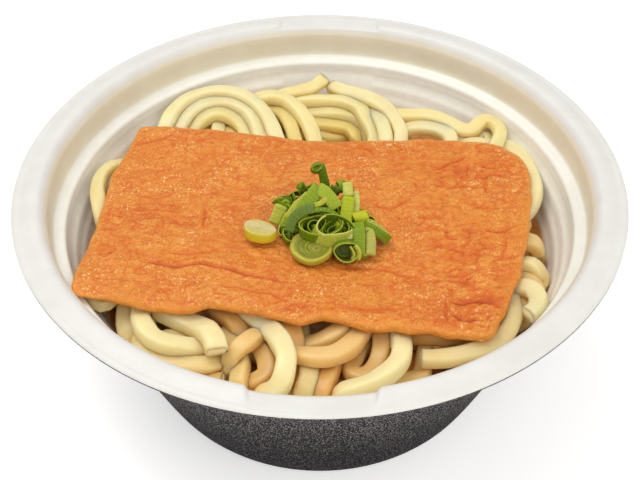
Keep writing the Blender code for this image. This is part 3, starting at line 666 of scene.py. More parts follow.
def settle(strands, rounds):
    """Moves noodles apart where they run through each other, and keeps them in the
    bowl and under the tofu. The ones that show move least."""
    at = np.concatenate([s["at"] for s in strands])
    home = at.copy()
    radius = np.concatenate([np.full(len(s["at"]), s["width"] * 0.46) for s in strands])
    loose = np.concatenate([np.full(len(s["at"]), s["loose"]) for s in strands])
    owner = np.concatenate([np.full(len(s["at"]), i) for i, s in enumerate(strands)])
    order = np.arange(len(at))
    starts = np.concatenate([[0], np.cumsum([len(s["at"]) for s in strands])])
    for turn in range(rounds):
        square = (at ** 2).sum(1)
        gap = square[:, None] + square[None] - 2 * at @ at.T
        i, j = np.nonzero(gap < 5.2 ** 2)
        far = (owner[i] != owner[j]) | (np.abs(order[i] - order[j]) > 6)
        i, j = i[(i < j) & far], j[(i < j) & far]
        apart = at[i] - at[j]
        apart[:, 2] += np.where(np.abs(apart[:, 2]) < 0.05, 0.05, 0.0)
        size = np.linalg.norm(apart, axis=1) + 1e-6
        overlap = radius[i] + radius[j] - size
        hit = overlap > 0
        i, j, apart, size, overlap = i[hit], j[hit], apart[hit], size[hit], overlap[hit]
        share = loose[i] + loose[j]
        push = apart / size[:, None] * overlap[:, None] * 0.45
        move, times = np.zeros_like(at), np.ones(len(at))
        np.add.at(move, i, push * (loose[i] / share)[:, None])
        np.add.at(move, j, -push * (loose[j] / share)[:, None])
        np.add.at(times, i, 0.35)
        np.add.at(times, j, 0.35)
        at = at + move / times[:, None]
        drift = at - home
        for a, b in zip(starts[:-1], starts[1:]):
            d = drift[a:b]
            for _ in range(2):
                d = np.concatenate([d[:1], 0.25 * d[:-2] + 0.5 * d[1:-1] + 0.25 * d[2:], d[-1:]])
            drift[a:b] = d * (0.985 if loose[a] < 0.5 else 0.998)
        at = home + drift
        beyond = looked_up(beyond_table, at[:, 0], at[:, 1])
        roof = looked_up(tofu_low_table, at[:, 0], at[:, 1]) - radius - 0.1 + np.maximum(beyond, 0) * 1.4
        at[:, 2] = np.clip(at[:, 2], np.where(loose < 0.5, 41.0, BROTH_Z - 1.2), roof)
        r = np.hypot(at[:, 0], at[:, 1])
        most = room_radius(at[:, 2]) - radius - 0.1
        at[:, :2] *= np.minimum(1.0, most / np.maximum(r, 1e-6))[:, None]
    for s, a, b in zip(strands, starts[:-1], starts[1:]):
        s["at"] = at[a:b]


settle(strands, 18)


def noodle_mesh(strands):
    """All noodles as closed tubes of rounded-square section with cut ends."""
    points, faces, tint, cut = [], [], [], []
    random = np.random.default_rng(5)
    for s in strands:
        shown = s["loose"] < 0.5
        sides = 20 if shown else 12
        path = spline(s["at"][::2] if len(s["at"]) > 8 else s["at"], 1.25 if shown else 1.9)
        count = len(path)
        ahead = np.gradient(path, axis=0)
        ahead /= np.linalg.norm(ahead, axis=1)[:, None]
        roll, wobble, shade = random.uniform(0, 6), random.uniform(0, 50), s["soak_and_shade"]
        up = np.array([0, 0, 1.0])
        angle = np.linspace(0, 2 * math.pi, sides, endpoint=False)
        c, q = np.cos(angle), np.sin(angle)
        power = 2 / 3.8
        oval_x = np.sign(c) * np.abs(c) ** power
        oval_y = np.sign(q) * np.abs(q) ** power
        first = len(points)
        inset = [(0, 0.72, -0.05), (0, 0.93, 0.12)] + [(k, 1.0, 0.0) for k in range(count)]
        inset += [(count - 1, 0.93, -0.12), (count - 1, 0.72, 0.05)]
        for place, (k, shrink, back) in enumerate(inset):
            t = ahead[k]
            side = np.cross(t, up)
            if np.linalg.norm(side) < 0.2:
                side = np.cross(t, np.array([0.0, 1.0, 0.0]))
            side /= np.linalg.norm(side)
            rise = np.cross(side, t)
            tilt = 0.30 * math.sin(k * 0.09 + roll) + 0.14 * math.sin(k * 0.23 + wobble)
            width = s["width"] / 2 * (1 + 0.035 * math.sin(k * 0.31 + wobble) + 0.02 * math.sin(k * 0.83 + roll))
            height = width * FLAT * (1 + 0.05 * math.sin(k * 0.21 + 2 * roll))
            across = side * math.cos(tilt) + rise * math.sin(tilt)
            above = rise * math.cos(tilt) - side * math.sin(tilt)
            middle = path[k] + t * back * 4
            ring = middle + shrink * (np.outer(oval_x * width, across) + np.outer(oval_y * height, above))
            points.extend(ring)
            tint.extend([shade] * sides)
            cut.extend([1.0 if shrink < 1 else 0.0] * sides)
        rings = len(inset)
        faces.extend(grid_faces(rings, sides, offset=first))
        faces.append(tuple(range(first + sides - 1, first - 1, -1)))
        faces.append(tuple(range(first + (rings - 1) * sides, first + rings * sides)))
    return np.array(points), faces, np.array(tint), np.array(cut)


points, faces, tint, cut = noodle_mesh(strands)
dough = Finish("noodle", Roughness=0.34, IOR=1.40, Coat_Weight=0.15, Coat_Roughness=0.16,
               Subsurface_Scale=0.010)
dough.shader.inputs["Subsurface Radius"].default_value = (1.0, 0.72, 0.42)
dough.shader.inputs["Subsurface Weight"].default_value = 0.70
# lower noodles are made darker and browner: partly the broth's stain, partly painted shade deep in the heap
depth = dough.levels(dough.axis("Z"), 44.5, 54.5)
pale = dough.ramp(depth, [(0.0, (0.66, 0.27, 0.050)), (0.30, (0.82, 0.43, 0.108)),
                          (0.62, (0.90, 0.610, 0.228)), (1.0, (0.90, 0.738, 0.395))])
# each strand's tint mixes in tan, more orange towards the front, and then a deep brown: partly the broth's stain,
# partly painted shade under the tofu's edge
strand = dough.attribute("tint")
tan = dough.mix(dough.levels(dough.axis("Y"), -10.0, 25.0), (0.79, 0.485, 0.180), (0.85, 0.61, 0.175))
pale = dough.mix(dough.levels(strand, 0.0, 0.45, 0.0, 0.88), pale, tan)
pale = dough.mix(dough.levels(strand, 0.45, 1.0, 0.0, 0.90), pale, (0.69, 0.268, 0.034))
stain = dough.noise(7.0, 2.0, 0.5)
pale = dough.mix(dough.levels(stain, 0.48, 0.70, 0.0, 0.30), pale, (0.80, 0.52, 0.22))
pale = dough.mix(dough.levels(dough.attribute("cut"), 0.0, 1.0, 0.0, 0.35), pale, (0.93, 0.83, 0.58))
waves = dough.noise(3.8, 1.0, 0.5)
grain = dough.noise(0.8, 2.0, 0.6)
relief = dough.bump(grain, 0.04, dough.bump(waves, 0.14))
noodle_finish = dough.set(Base_Color=pale, Normal=relief)
noodles = piece("noodles", points, faces, [noodle_finish], "noodles",
                attributes={"tint": tint, "cut": cut})
print("noodles:", len(strands), "strands,", sum(len(f) - 2 for f in faces), "triangles")

# the middle of the heap, below the tofu, where no single noodle shows
size = 72
points, faces = [], []
for i in range(size + 1):
    share = i / size
    for j in range(96):
        a = 2 * math.pi * j / 96
        r = 63.0 * share
        points.append((r * math.cos(a), r * math.sin(a)))
points = np.array(points)
x, y = points[:, 0], points[:, 1]
well = smoothstep(4.0, 16.0, -looked_up(beyond_table, x, y))
r = np.hypot(x, y)
wind = 0.8 * r + 6.0 * np.sin(2 * np.arctan2(y, x) + 0.7)
backs = np.abs(np.sin(math.pi * wind / 9.0)) * 2.6 - 2.6
height = 41.5 + well * (53.0 - 41.5) + backs * well
height = np.minimum(height, looked_up(tofu_low_table, x, y) - 0.6)
floor = 10.0 + 24.0 * (r / 63.0) ** 3
top = np.c_[points, height]
under = np.c_[points * 0.985, np.minimum(floor, height - 0.6)]
rings, steps = size + 1, 96
faces = grid_faces(rings, steps, offset=0, flip=False)
faces += [tuple(n + len(top) for n in reversed(f)) for f in faces]
edge = size * steps
faces += [(edge + j, edge + len(top) + j, edge + len(top) + (j + 1) % steps, edge + (j + 1) % steps) for j in range(steps)]
core = piece("noodle_core", np.r_[top, under], faces, [noodle_finish], "noodles",
             attributes={"tint": np.full(2 * len(top), 0.5), "cut": np.zeros(2 * len(top))})

# ---- fried tofu ---------------------------------------------------------------
# Creases of the skin, each by its depth, its half width and the line it follows.
CREASES = [
    (1.15, 0.62, [(-51.3, -24.6), (-45.4, -26.3), (-40.2, -27.1), (-34.1, -25.5), (-25.4, -27.9),
                  (-16.2, -31.6), (-5.4, -34.8)]),
    (0.80, 0.50, [(-34.2, -1.2), (-34.0, -9.2)]),
    (0.45, 0.60, [(-65.2, -11.8), (-57.7, -13.1)]),
    (0.90, 0.60, [(-60.3, -23.8), (-58.9, -22.9)]),
    (1.70, 0.75, [(35.5, -38.8), (39.0, -40.0), (42.5, -38.8), (46.1, -38.8), (51.5, -40.0)]),
    (1.50, 0.80, [(36.0, -43.9), (39.9, -46.6), (44.6, -46.2)]),
    (0.85, 0.60, [(35.2, -38.8), (34.9, -47.7)]),
    (0.80, 0.65, [(38.9, -30.0), (41.0, -32.0), (43.2, -28.8)]),
    (0.75, 0.60, [(48.5, -9.7), (52.8, -11.0), (58.0, -8.8)]),
    (0.50, 0.60, [(54.7, -13.2), (52.4, -21.7)]),
    (0.55, 0.60, [(46.4, -17.5), (44.9, -25.9)]),
    (0.55, 0.60, [(12.5, 27.9), (17.2, 25.4)]),
    (0.70, 0.70, [(35.6, 19.0), (38.7, 20.4), (46.9, 26.3)]),
    (0.80, 0.65, [(49.1, 14.1), (52.3, 16.5), (57.6, 16.5)]),
    (0.60, 0.60, [(50.6, 14.1), (50.3, 7.0)]),
    (0.50, 0.70, [(15.0, -0.8), (21.6, -0.8), (28.6, 3.8)]),
    (0.50, 0.80, [(2.2, -27.9), (15.0, -26.7), (22.0, -28.0), (31.3, -30.0)]),
    (0.40, 0.60, [(-26.6, 26.4), (-18.1, 25.4)]),
    (0.45, 0.70, [(-59.6, 26.5), (-45.9, 31.5)]),
    (0.35, 0.50, [(-47.0, -20.5), (-38.0, -21.8), (-31.0, -20.6)]),
    (0.35, 0.50, [(-30.5, -33.5), (-20.0, -37.0), (-9.0, -39.6)]),
    (0.35, 0.60, [(-56.0, 4.0), (-49.0, 2.4), (-43.0, 4.6)]),
    (0.40, 0.60, [(3.0, -42.0), (14.0, -43.4), (24.0, -42.2)]),
    (0.45, 0.60, [(40.2, -42.0), (44.0, -43.2), (50.0, -43.0)]),
]


# How the front edge waves out and in along the sheet: x, shift in y.
FRONT_WAVE = [(-75, 0.8), (-56, 0.6), (-46, 0.6), (-40, 0.5), (-35, 1.4), (-31, 3.6), (-26, 3.3), (-19, 2.6), (-14, 1.5),
              (-8.5, 0.2), (-5, 0.0), (-2, 1.4), (1, 2.5), (6, 2.0), (13, 0.6), (17, 0.8), (21, 1.7), (25, 1.2),
              (30, 2.3), (35.5, 0.9), (42, 0.7), (50, 1.2)]


def from_line(x, y, line):
    """Distance from each point to the line, and how far along it the nearest place is."""
    near, share = np.full(np.shape(x), 1e9), np.zeros(np.shape(x))
    total = len(line) - 1
    for k, ((x0, y0), (x1, y1)) in enumerate(zip(line, line[1:])):
        dx, dy = x1 - x0, y1 - y0
        t = np.clip(((x - x0) * dx + (y - y0) * dy) / (dx * dx + dy * dy), 0, 1)
        d = np.hypot(x - x0 - t * dx, y - y0 - t * dy)
        share = np.where(d < near, (k + t) / total, share)
        near = np.minimum(near, d)
    return near, share


def skin_relief(x, y):
    """Height of the tofu's wrinkled skin over its smooth top, and how creased it is."""
    sway_x = x + 0.9 * field(x, y, 5.0, 5.0, 31.0)
    sway_y = y + 0.9 * field(x, y, 5.0, 5.0, 32.0)
    calm = np.minimum(np.hypot((x - ONION_AT[0]) / 22, (y - ONION_AT[1]) / 20), 1.0) ** 4
    wide = 0.55 * field(x, y, 7.0, 7.0, 1.0) - 0.5 * np.abs(field(x, y, 12.0, 12.0, 5.0))
    relief = wide * (0.35 + 0.65 * calm)
    relief -= 0.42 * np.abs(field(x, y, 8.0, 4.4, 12.0)) ** 0.8 - 0.12
    relief += 0.16 * field(x, y, 3.4, 2.2, 14.0)
    ridges = 1 - np.abs(field(sway_x, sway_y, 4.2, 2.6, 17.0)) * 2.2
    relief -= 0.30 * np.clip(ridges, 0, 1) ** 3
    fine = 1 - np.abs(field(sway_x, sway_y, 2.3, 1.25, 23.0)) * 2.4
    relief -= 0.13 * np.clip(fine, 0, 1) ** 2
    crumpled = smoothstep(14, 44, x) + 0.5 * smoothstep(8, 30, y) * (1 - smoothstep(14, 44, x))
    folds = 1 - np.abs(field(sway_x, sway_y, 6.2, 3.4, 71.0)) * 2.0
    relief -= 0.45 * crumpled * np.clip(folds, 0, 1) ** 3
    creased = 0.42 * np.clip(ridges, 0, 1) ** 4 + 0.18 * np.clip(fine, 0, 1) ** 3
    creased += 0.35 * crumpled * np.clip(folds, 0, 1) ** 5
    patch = field(x, y, 16.0, 12.0, 44.0)
    creased *= 0.55 + 0.9 * np.clip(patch + 0.3, 0, 1)
    for deep, half, line in CREASES:
        near, share = from_line(sway_x, sway_y, line)
        fade = smoothstep(0.0, 0.16, share) * (1 - smoothstep(0.84, 1.0, share)) * 0.75 + 0.25
        relief -= 0.72 * deep * fade * np.exp(-(near / half) ** 2)
        relief += 0.30 * deep * fade * np.exp(-((near - 2.1 * half) / (1.3 * half)) ** 2)
        creased = np.maximum(creased, min(1.0, 0.35 + 0.5 * deep) * fade * np.exp(-(near / (0.85 * half)) ** 2))
    return relief, creased


def tofu_rows(cells, half_length):
    """Places across the sheet from -1 to 1, close together along its rounded edges."""
    edge = [1.0 - d / half_length for d in (0.0, 0.15, 0.42, 0.85, 1.45, 2.2, 3.0, 3.7)]
    inner = np.linspace(-edge[-1], edge[-1], cells)[1:-1]
    return np.array([-e for e in edge] + list(inner) + edge[::-1])


def tofu_sheet():
    rows_a, rows_b = tofu_rows(188, 61.0), tofu_rows(118, 39.0)
    a, b = np.meshgrid(rows_a, rows_b)
    plan = np.array([tofu_plan(p, q) for p, q in zip(a.ravel(), b.ravel())])
    x, y = plan[:, 0].reshape(a.shape), plan[:, 1].reshape(a.shape)
    x = x + 0.7 * field(x, y, 9.0, 9.0, 3.0)
    y = y + 0.7 * field(x, y, 9.0, 9.0, 8.0)
    front = smoothstep(0.55, 1.0, -b)
    y = y + front * np.interp(x, [p for p, q in FRONT_WAVE], [q for p, q in FRONT_WAVE])
    x = x - 1.5 * smoothstep(0.78, 1.0, a) * np.exp(-((b + 0.74) / 0.24) ** 2)
    border = np.maximum(smoothstep(0.93, 1.0, np.abs(a)), smoothstep(0.90, 1.0, np.abs(b)))
    x = x + 0.30 * border * field(x, y, 3.2, 3.2, 51.0)
    y = y + 0.30 * border * field(x, y, 3.2, 3.2, 52.0)
    inset = np.minimum((1 - np.abs(a)) * 61.0, (1 - np.abs(b)) * 39.0)
    depth = np.minimum(inset / 3.4, 1.0)
    full = 0.14 + 0.86 * np.sqrt(1 - (1 - depth) ** 2)
    above, below = tofu_top(x, y), tofu_bottom(x, y)
    middle = (above + below) / 2
    relief, creased = skin_relief(x, y)
    top = middle + (above - middle) * full + relief * np.clip(full * 1.15 - 0.15, 0, 1)
    under = 0.5 * field(x, y, 7.0, 6.0, 61.0) - 0.25
    bottom = np.maximum(middle - (middle - below) * full, below) + np.where(full > 0.9, np.maximum(under, 0) * 0.6, 0)
    return x, y, top, bottom, creased * full, 1 - depth


x, y, top, bottom, creased, rim = tofu_sheet()
high, wide = x.shape
points = np.r_[np.c_[x.ravel(), y.ravel(), top.ravel()], np.c_[x.ravel(), y.ravel(), bottom.ravel()]]
n = high * wide
faces = grid_faces(high, wide, wrap=False)
faces += [tuple(n + k for k in reversed(f)) for f in faces]
ring = ([(0, j) for j in range(wide - 1)] + [(i, wide - 1) for i in range(high - 1)]
        + [(high - 1, j) for j in range(wide - 1, 0, -1)] + [(i, 0) for i in range(high - 1, 0, -1)])
ring = [i * wide + j for i, j in ring]
faces += [(n + p, n + q, q, p) for p, q in zip(ring, ring[1:] + ring[:1])]

skin = Finish("fried_tofu", Roughness=0.46, IOR=1.42, Specular_IOR_Level=0.36, Coat_Weight=0.08,
              Coat_Roughness=0.18, Subsurface_Scale=0.003)
skin.shader.inputs["Subsurface Radius"].default_value = (1.0, 0.35, 0.12)
skin.shader.inputs["Subsurface Weight"].default_value = 0.08
blotch = skin.noise(11.0, 3.0, 0.55, 0.6)
flow = skin.noise(3.2, 3.0, 0.6, 0.8, skin.stretch((0.6, 1.0, 1.0)))
crumb = skin.noise(0.60, 3.0, 0.70)
glint_fleck = skin.noise(0.80, 1.0, 0.5)
glint_patches = skin.levels(skin.noise(13.0, 2.0, 0.6), 0.46, 0.60, 0.15, 1.0)
cells = skin.cells(1.5, "SMOOTH_F1", place=skin.stretch((0.7, 1.15, 1.0)))
orange = skin.mix(skin.levels(blotch, 0.34, 0.66), (0.680, 0.196, 0.020), (0.760, 0.276, 0.033))
orange = skin.mix(skin.levels(flow, 0.50, 0.72, 0.0, 0.55), orange, (0.830, 0.345, 0.062))
orange = skin.mix(skin.levels(flow, 0.46, 0.28, 0.0, 0.50), orange, (0.560, 0.110, 0.008))
uneven = skin.levels(skin.noise(9.0, 2.0, 0.5), 0.38, 0.62, 0.45, 1.0)
orange = skin.mix(skin.maths("MULTIPLY", uneven, skin.levels(crumb, 0.53, 0.68, 0.0, 0.85)), orange, (0.950, 0.500, 0.160))
orange = skin.mix(skin.maths("MULTIPLY", uneven, skin.levels(crumb, 0.47, 0.32, 0.0, 0.85)), orange, (0.440, 0.082, 0.005))
# painted highlights: pale flecks in patches stand in for glints of the wet skin
orange = skin.mix(skin.maths("MULTIPLY", glint_patches, skin.levels(glint_fleck, 0.60, 0.70, 0.0, 0.80)), orange, (0.970, 0.640, 0.300))
# painted shade: the skin's creases are made darker and redder, darkest in their cores, as the shade in the folds
crease_shade = skin.attribute("crease_shade")
orange = skin.mix(skin.levels(crease_shade, 0.04, 0.45, 0.0, 0.80), orange, (0.640, 0.115, 0.010))
orange = skin.mix(skin.levels(crease_shade, 0.50, 0.95, 0.0, 0.90), orange, (0.340, 0.042, 0.003))
# painted light: the band along the sheet's edge is made a lighter orange, as light on its sides
orange = skin.mix(skin.levels(skin.attribute("edge"), 0.35, 1.0, 0.0, 0.45), orange, (0.840, 0.340, 0.055))
relief = skin.bump(crumb, 0.30, skin.bump(flow, 0.65, skin.bump(cells, 0.32)))
tofu = piece("fried_tofu_skin", points, faces, [skin.set(Base_Color=orange, Normal=relief)],
             "fried_tofu",
             attributes={"crease_shade": np.r_[creased.ravel(), 0 * creased.ravel()],
                         "edge": np.r_[rim.ravel(), rim.ravel()]})
print("tofu:", sum(len(f) - 2 for f in faces), "triangles")

# ---- green onion --------------------------------------------------------------
# painted shade: DEEP, and the inside colour below, are dark greens for the rings' inner walls and for pieces lying deep
# between the others
DEEP, GREEN, LEAF = (0.040, 0.072, 0.001), (0.125, 0.205, 0.002), (0.240, 0.350, 0.005)
LIME, PALE, WHITE = (0.440, 0.480, 0.008), (0.520, 0.520, 0.075), (0.700, 0.670, 0.290)
BLUISH, SHADED_INSIDE = (0.085, 0.150, 0.018), (0.080, 0.115, 0.002)
YELLOW, CREAM = (0.620, 0.560, 0.012), (0.760, 0.640, 0.300)
FACING = np.array([0.0, -0.69, 0.72])  # up and to the front, as most of the cuts lie


def face_on(path, turn=0.0):
    """The way a band's width runs so that its outer side faces up and to the front."""
    ahead = np.gradient(np.array(path, float), axis=0)
    ahead /= np.linalg.norm(ahead, axis=1)[:, None]
    across = np.cross(FACING, ahead)
    across /= np.linalg.norm(across, axis=1)[:, None]
    return math.cos(turn) * across + math.sin(turn) * np.cross(ahead, across)


def blended(a, b, share):
    return tuple((1 - share) * p + share * q for p, q in zip(a, b))


class Greens:
    """Thin walled cuts of onion, gathered into one mesh. Each keeps its colours at
    its points: its outer side, its inner side and its cut edges."""

    # across the wall's section: place over the width, place over the thickness, side
    SECTION = [(-0.90, 1, 0), (-0.5, 1.0, 0), (0.0, 1.0, 0), (0.5, 1.0, 0), (0.90, 1, 0), (1.0, 0.6, 2),
               (1.0, -0.6, 2), (0.90, -1, 1), (0.5, -1.0, 1), (0.0, -1.0, 1), (-0.5, -1.0, 1),
               (-0.90, -1, 1), (-1.0, -0.6, 2), (-1.0, 0.6, 2)]

    def __init__(self, seed):
        self.points, self.faces, self.colour, self.fibre = [], [], [], []
        self.random = np.random.default_rng(seed)

    def add(self, points, faces, colour, fibre):
        points = np.asarray(points, float)
        tri = np.array([(f[0], f[k], f[k + 1]) for f in faces for k in range(1, len(f) - 1)])
        if np.linalg.det(points[tri] - points.mean(0)).sum() < 0:
            faces = [tuple(reversed(f)) for f in faces]
        start = len(self.points)
        self.points.extend(points)
        self.colour.extend(colour)
        self.fibre.extend(fibre)
        self.faces.extend(tuple(start + k for k in f) for f in faces)

    def strip(self, path, across, width, wall, outer, inner, cut, closed=False, ends=0.35, cup=0.0, step=0.42):
        """A band along the path. across is the way its width runs, one or one for each
        of the path's points, and cup bends its section into a trough."""
        path = np.array(path, float)
        across = np.array(across, float)
        across = np.repeat(across[None], len(path), 0) if across.ndim == 1 else across
        if closed:
            both = np.c_[path, across]
            count = len(both)
        else:
            both = spline_any(np.c_[path, across], step)
            count = len(both)
        path, across = both[:, :3], both[:, 3:]
        if closed:
            ahead = np.roll(path, -1, 0) - np.roll(path, 1, 0)
        else:
            ahead = np.gradient(path, axis=0)
        ahead /= np.linalg.norm(ahead, axis=1)[:, None]
        across = across - (across * ahead).sum(1)[:, None] * ahead
        across /= np.linalg.norm(across, axis=1)[:, None]
        out = np.cross(ahead, across)
        offset = self.random.uniform(0, 400)
        along = np.concatenate([[0], np.cumsum(np.linalg.norm(np.diff(path, axis=0), axis=1))])
        ragged = field(along, along * 0, 2.2, 1.0, offset) * 0.09 + 1
        points, colour, fibre = [], [], []
        for k in range(count):
            narrow = 1.0
            if not closed:
                from_end = min(along[k], along[-1] - along[k])
                narrow = ends + (1 - ends) * math.sqrt(1 - (1 - min(from_end / 0.5, 1.0)) ** 2)
            for u, v, side in self.SECTION:
                bend = cup * (u * u - 0.4)
                points.append(path[k] + across[k] * (u * width / 2 * ragged[k] * (0.75 + 0.25 * narrow))
                              + out[k] * (v * wall / 2 * narrow + bend))
                base = (outer, inner, cut)[side]
                colour.append(blended(base, cut, 0.12 * abs(u) if side < 2 else 0.0))
                fibre.append(offset + along[k])
        n = len(self.SECTION)
        faces = grid_faces(count, n)
        if closed:
            last = (count - 1) * n
            faces += [(last + j, last + (j + 1) % n, (j + 1) % n, j) for j in range(n)]
        else:
            faces.append(tuple(range(n - 1, -1, -1)))
            faces.append(tuple((count - 1) * n + j for j in range(n)))
        self.add(points, faces, colour, fibre)

    def ring(self, centre, axis, radii, turn, height, wall, outer, inner, cut, wobble=0.06,
             arc=None, flare=0.0, phase=None):
        """A cut across the leaf: a short thin walled tube round the axis. arc gives the
        part of the turn that is there, in degrees, where it is torn open."""
        axis = np.array(axis, float)
        axis /= np.linalg.norm(axis)
        side = np.cross(axis, (0.0, 0.1, 1.0)) if abs(axis[2]) < 0.8 else np.cross((0.0, 1.0, 0.1), axis)
        side /= np.linalg.norm(side)
        ahead = np.cross(axis, side)
        side, ahead = (math.cos(turn) * side + math.sin(turn) * ahead, math.cos(turn) * ahead - math.sin(turn) * side)
        lo, hi = (0.0, 360.0) if arc is None else arc
        count = max(14, int((hi - lo) / 360 * math.pi * sum(radii) / 0.42))
        angle = np.radians(np.linspace(lo, hi, count, endpoint=arc is not None))
        k1, k2, k3 = self.random.uniform(0, 6.28, 3) if phase is None else phase
        swell = 1 + wobble * np.sin(2 * angle + k1) + 0.6 * wobble * np.sin(3 * angle + k2)
        drift = 0.10 * height * np.sin(2 * angle + k3)
        path = (np.array(centre) + np.outer(radii[0] * swell * np.cos(angle), side)
                + np.outer(radii[1] * swell * np.sin(angle), ahead) + np.outer(drift, axis))
        outward = path - np.array(centre)
        outward -= np.outer(outward @ axis, axis)
        outward /= np.linalg.norm(outward, axis=1)[:, None] + 1e-9
        across = axis + flare * outward
        self.strip(path, across, height, wall, outer, inner, cut, closed=arc is None)

    def slice(self, centre, axis, radii, turn, height, side, shades, drift=(0.0, 0.0), cast_shadow=0.0):
        """A solid slice across the stalk. shades are the colours of the cut's layers from
        its rim to its middle, drift moves that middle off the centre, and the last argument
        darkens the cut's back as a painted shadow."""
        axis = np.array(axis, float)
        axis /= np.linalg.norm(axis)
        right = np.array([math.cos(turn), math.sin(turn), 0.0])
        right -= axis * (right @ axis)
        right /= np.linalg.norm(right)
        back = np.cross(axis, right)
        rows = [(0.88, 0.0, side), (0.97, 0.12, side), (1.0, 0.35, side), (1.01, 0.66, side),
                (1.0, 0.86, blended(side, shades[0], 0.6)), (0.975, 0.95, shades[0])]
        for k, shade in enumerate(shades):
            share = 0.93 - 0.86 * k / (len(shades) - 1)
            rows.append((share, (0.985, 1.0)[k % 2] + 0.02 * (1 - share), shade))
        around = 60
        angle = np.linspace(0, 2 * math.pi, around, endpoint=False)
        k1, k2, offset = self.random.uniform(0, 6.28), self.random.uniform(0, 6.28), self.random.uniform(0, 300)
        points, colour, fibre = [], [], []
        for share, up, shade in rows:
            inside = max(0.0, 0.95 - share)
            wobble = 1 + 0.022 * np.sin(3 * angle + k1) + 0.018 * np.sin(5 * angle + k2 + 9 * inside)
            x = radii[0] * share * wobble * np.cos(angle) + drift[0] * inside
            y = radii[1] * share * wobble * np.sin(angle) + drift[1] * inside
            z = height * (up - 0.5) + 0.06 * np.sin(4 * angle + 12 * share + k1) * (up > 0.9)
            points.extend(np.array(centre) + np.outer(x, right) + np.outer(y, back) + np.outer(z, axis))
            for j in range(around):
                dark = cast_shadow * float(smoothstep(-0.2, 0.9, y[j] / radii[1] - 0.4 * x[j] / radii[0])) * (up > 0.9)
                colour.append(blended(shade, (0.10, 0.13, 0.006), dark))
                fibre.append(offset + angle[j] * radii[0] if up < 0.9 else offset + 0.6 * share * radii[0])
        faces = grid_faces(len(rows), around)
        faces.append(tuple(range(around - 1, -1, -1)))
        faces.append(tuple((len(rows) - 1) * around + j for j in range(around)))
        self.add(points, faces, colour, fibre)


def spline_any(points, step):
    """A smooth curve through points of any number of columns, measured over the first three."""
    p = np.array(points, float)
    p = np.concatenate([2 * p[:1] - p[1:2], p, 2 * p[-1:] - p[-2:-1]])
    out = []
    for i in range(1, len(p) - 2):
        t = np.linspace(0, 1, 14, endpoint=False)[:, None]
        a, b, c, d = p[i - 1], p[i], p[i + 1], p[i + 2]
        out.append(0.5 * (2 * b + (c - a) * t + (2 * a - 5 * b + 4 * c - d) * t ** 2
                          + (3 * b - a - 3 * c + d) * t ** 3))
    out = np.concatenate(out + [p[-2:-1]])
    along = np.concatenate([[0], np.cumsum(np.linalg.norm(np.diff(out[:, :3], axis=0), axis=1))])
    at = np.linspace(0, along[-1], max(6, int(round(along[-1] / step)) + 1))
    return np.stack([np.interp(at, along, out[:, k]) for k in range(p.shape[1])], 1)


greens = Greens(31)
# the strip that stands up and curls over
hook = [(2.3, -1.2, 64.5), (1.9, -0.4, 67.6), (1.4, 0.5, 70.3), (0.8, 1.2, 72.7), (0.3, 1.7, 74.5), (-0.3, 1.9, 75.5),
        (-1.1, 1.8, 75.7), (-1.9, 1.4, 74.9)]
greens.strip(hook, face_on(hook[:5]).tolist() + [[0.35, -0.75, 0.45], [0.1, -0.8, 0.5], [0.0, -0.8, 0.5]], 2.7, 0.55,
             blended(GREEN, DEEP, 0.2), DEEP, blended(GREEN, LIME, 0.35), cup=-0.25)
greens.ring((-0.95, 1.5, 74.2), (0.12, -0.55, 0.85), (1.3, 1.15), 0.2, 2.7, 0.6, blended(GREEN, DEEP, 0.45), DEEP,
            blended(GREEN, LEAF, 0.6), 0.05)
greens.slice((-0.95, 1.35, 74.2), (0.12, -0.55, 0.85), (1.2, 1.05), 0.2, 2.7, blended(GREEN, DEEP, 0.4),
             [GREEN, GREEN, blended(GREEN, DEEP, 0.5), GREEN, DEEP, GREEN])
# the cut disc at the front, its back painted darker as the shadow of the ring behind it
rim, line, mid = (0.50, 0.43, 0.055), (0.12, 0.13, 0.003), (0.24, 0.22, 0.007)
greens.slice((-2.3, -22.2, 64.0), (-0.05, -0.16, 1.0), (6.25, 5.5), -0.28, 2.5, (0.50, 0.44, 0.035),
             [rim, rim, blended(rim, mid, 0.5), mid, line, mid, blended(mid, line, 0.4), mid, line, mid, mid, line,
              (0.36, 0.31, 0.03), line, (0.44, 0.36, 0.06), (0.30, 0.24, 0.03), (0.10, 0.09, 0.004)], (2.0, -0.6), 0.70)
# the wide open ring behind it, dark inside
greens.ring((0.6, -16.4, 66.6), (0.02, 0.10, 1.0), (6.2, 4.8), 0.1, 3.2, 0.45, GREEN, SHADED_INSIDE,
            blended(LEAF, PALE, 0.35), 0.05, flare=0.08)
greens.ring((-1.6, -15.9, 66.3), (-0.1, -0.05, 1.0), (3.6, 3.3), 0.6, 3.0, 0.4, blended(GREEN, LEAF, 0.4), SHADED_INSIDE,
            blended(LEAF, PALE, 0.25), 0.06)
greens.ring((-1.4, -15.6, 65.6), (0.1, -0.2, 1.0), (2.2, 2.0), 0.6, 3.0, 0.4, GREEN, DEEP, LEAF, 0.08)
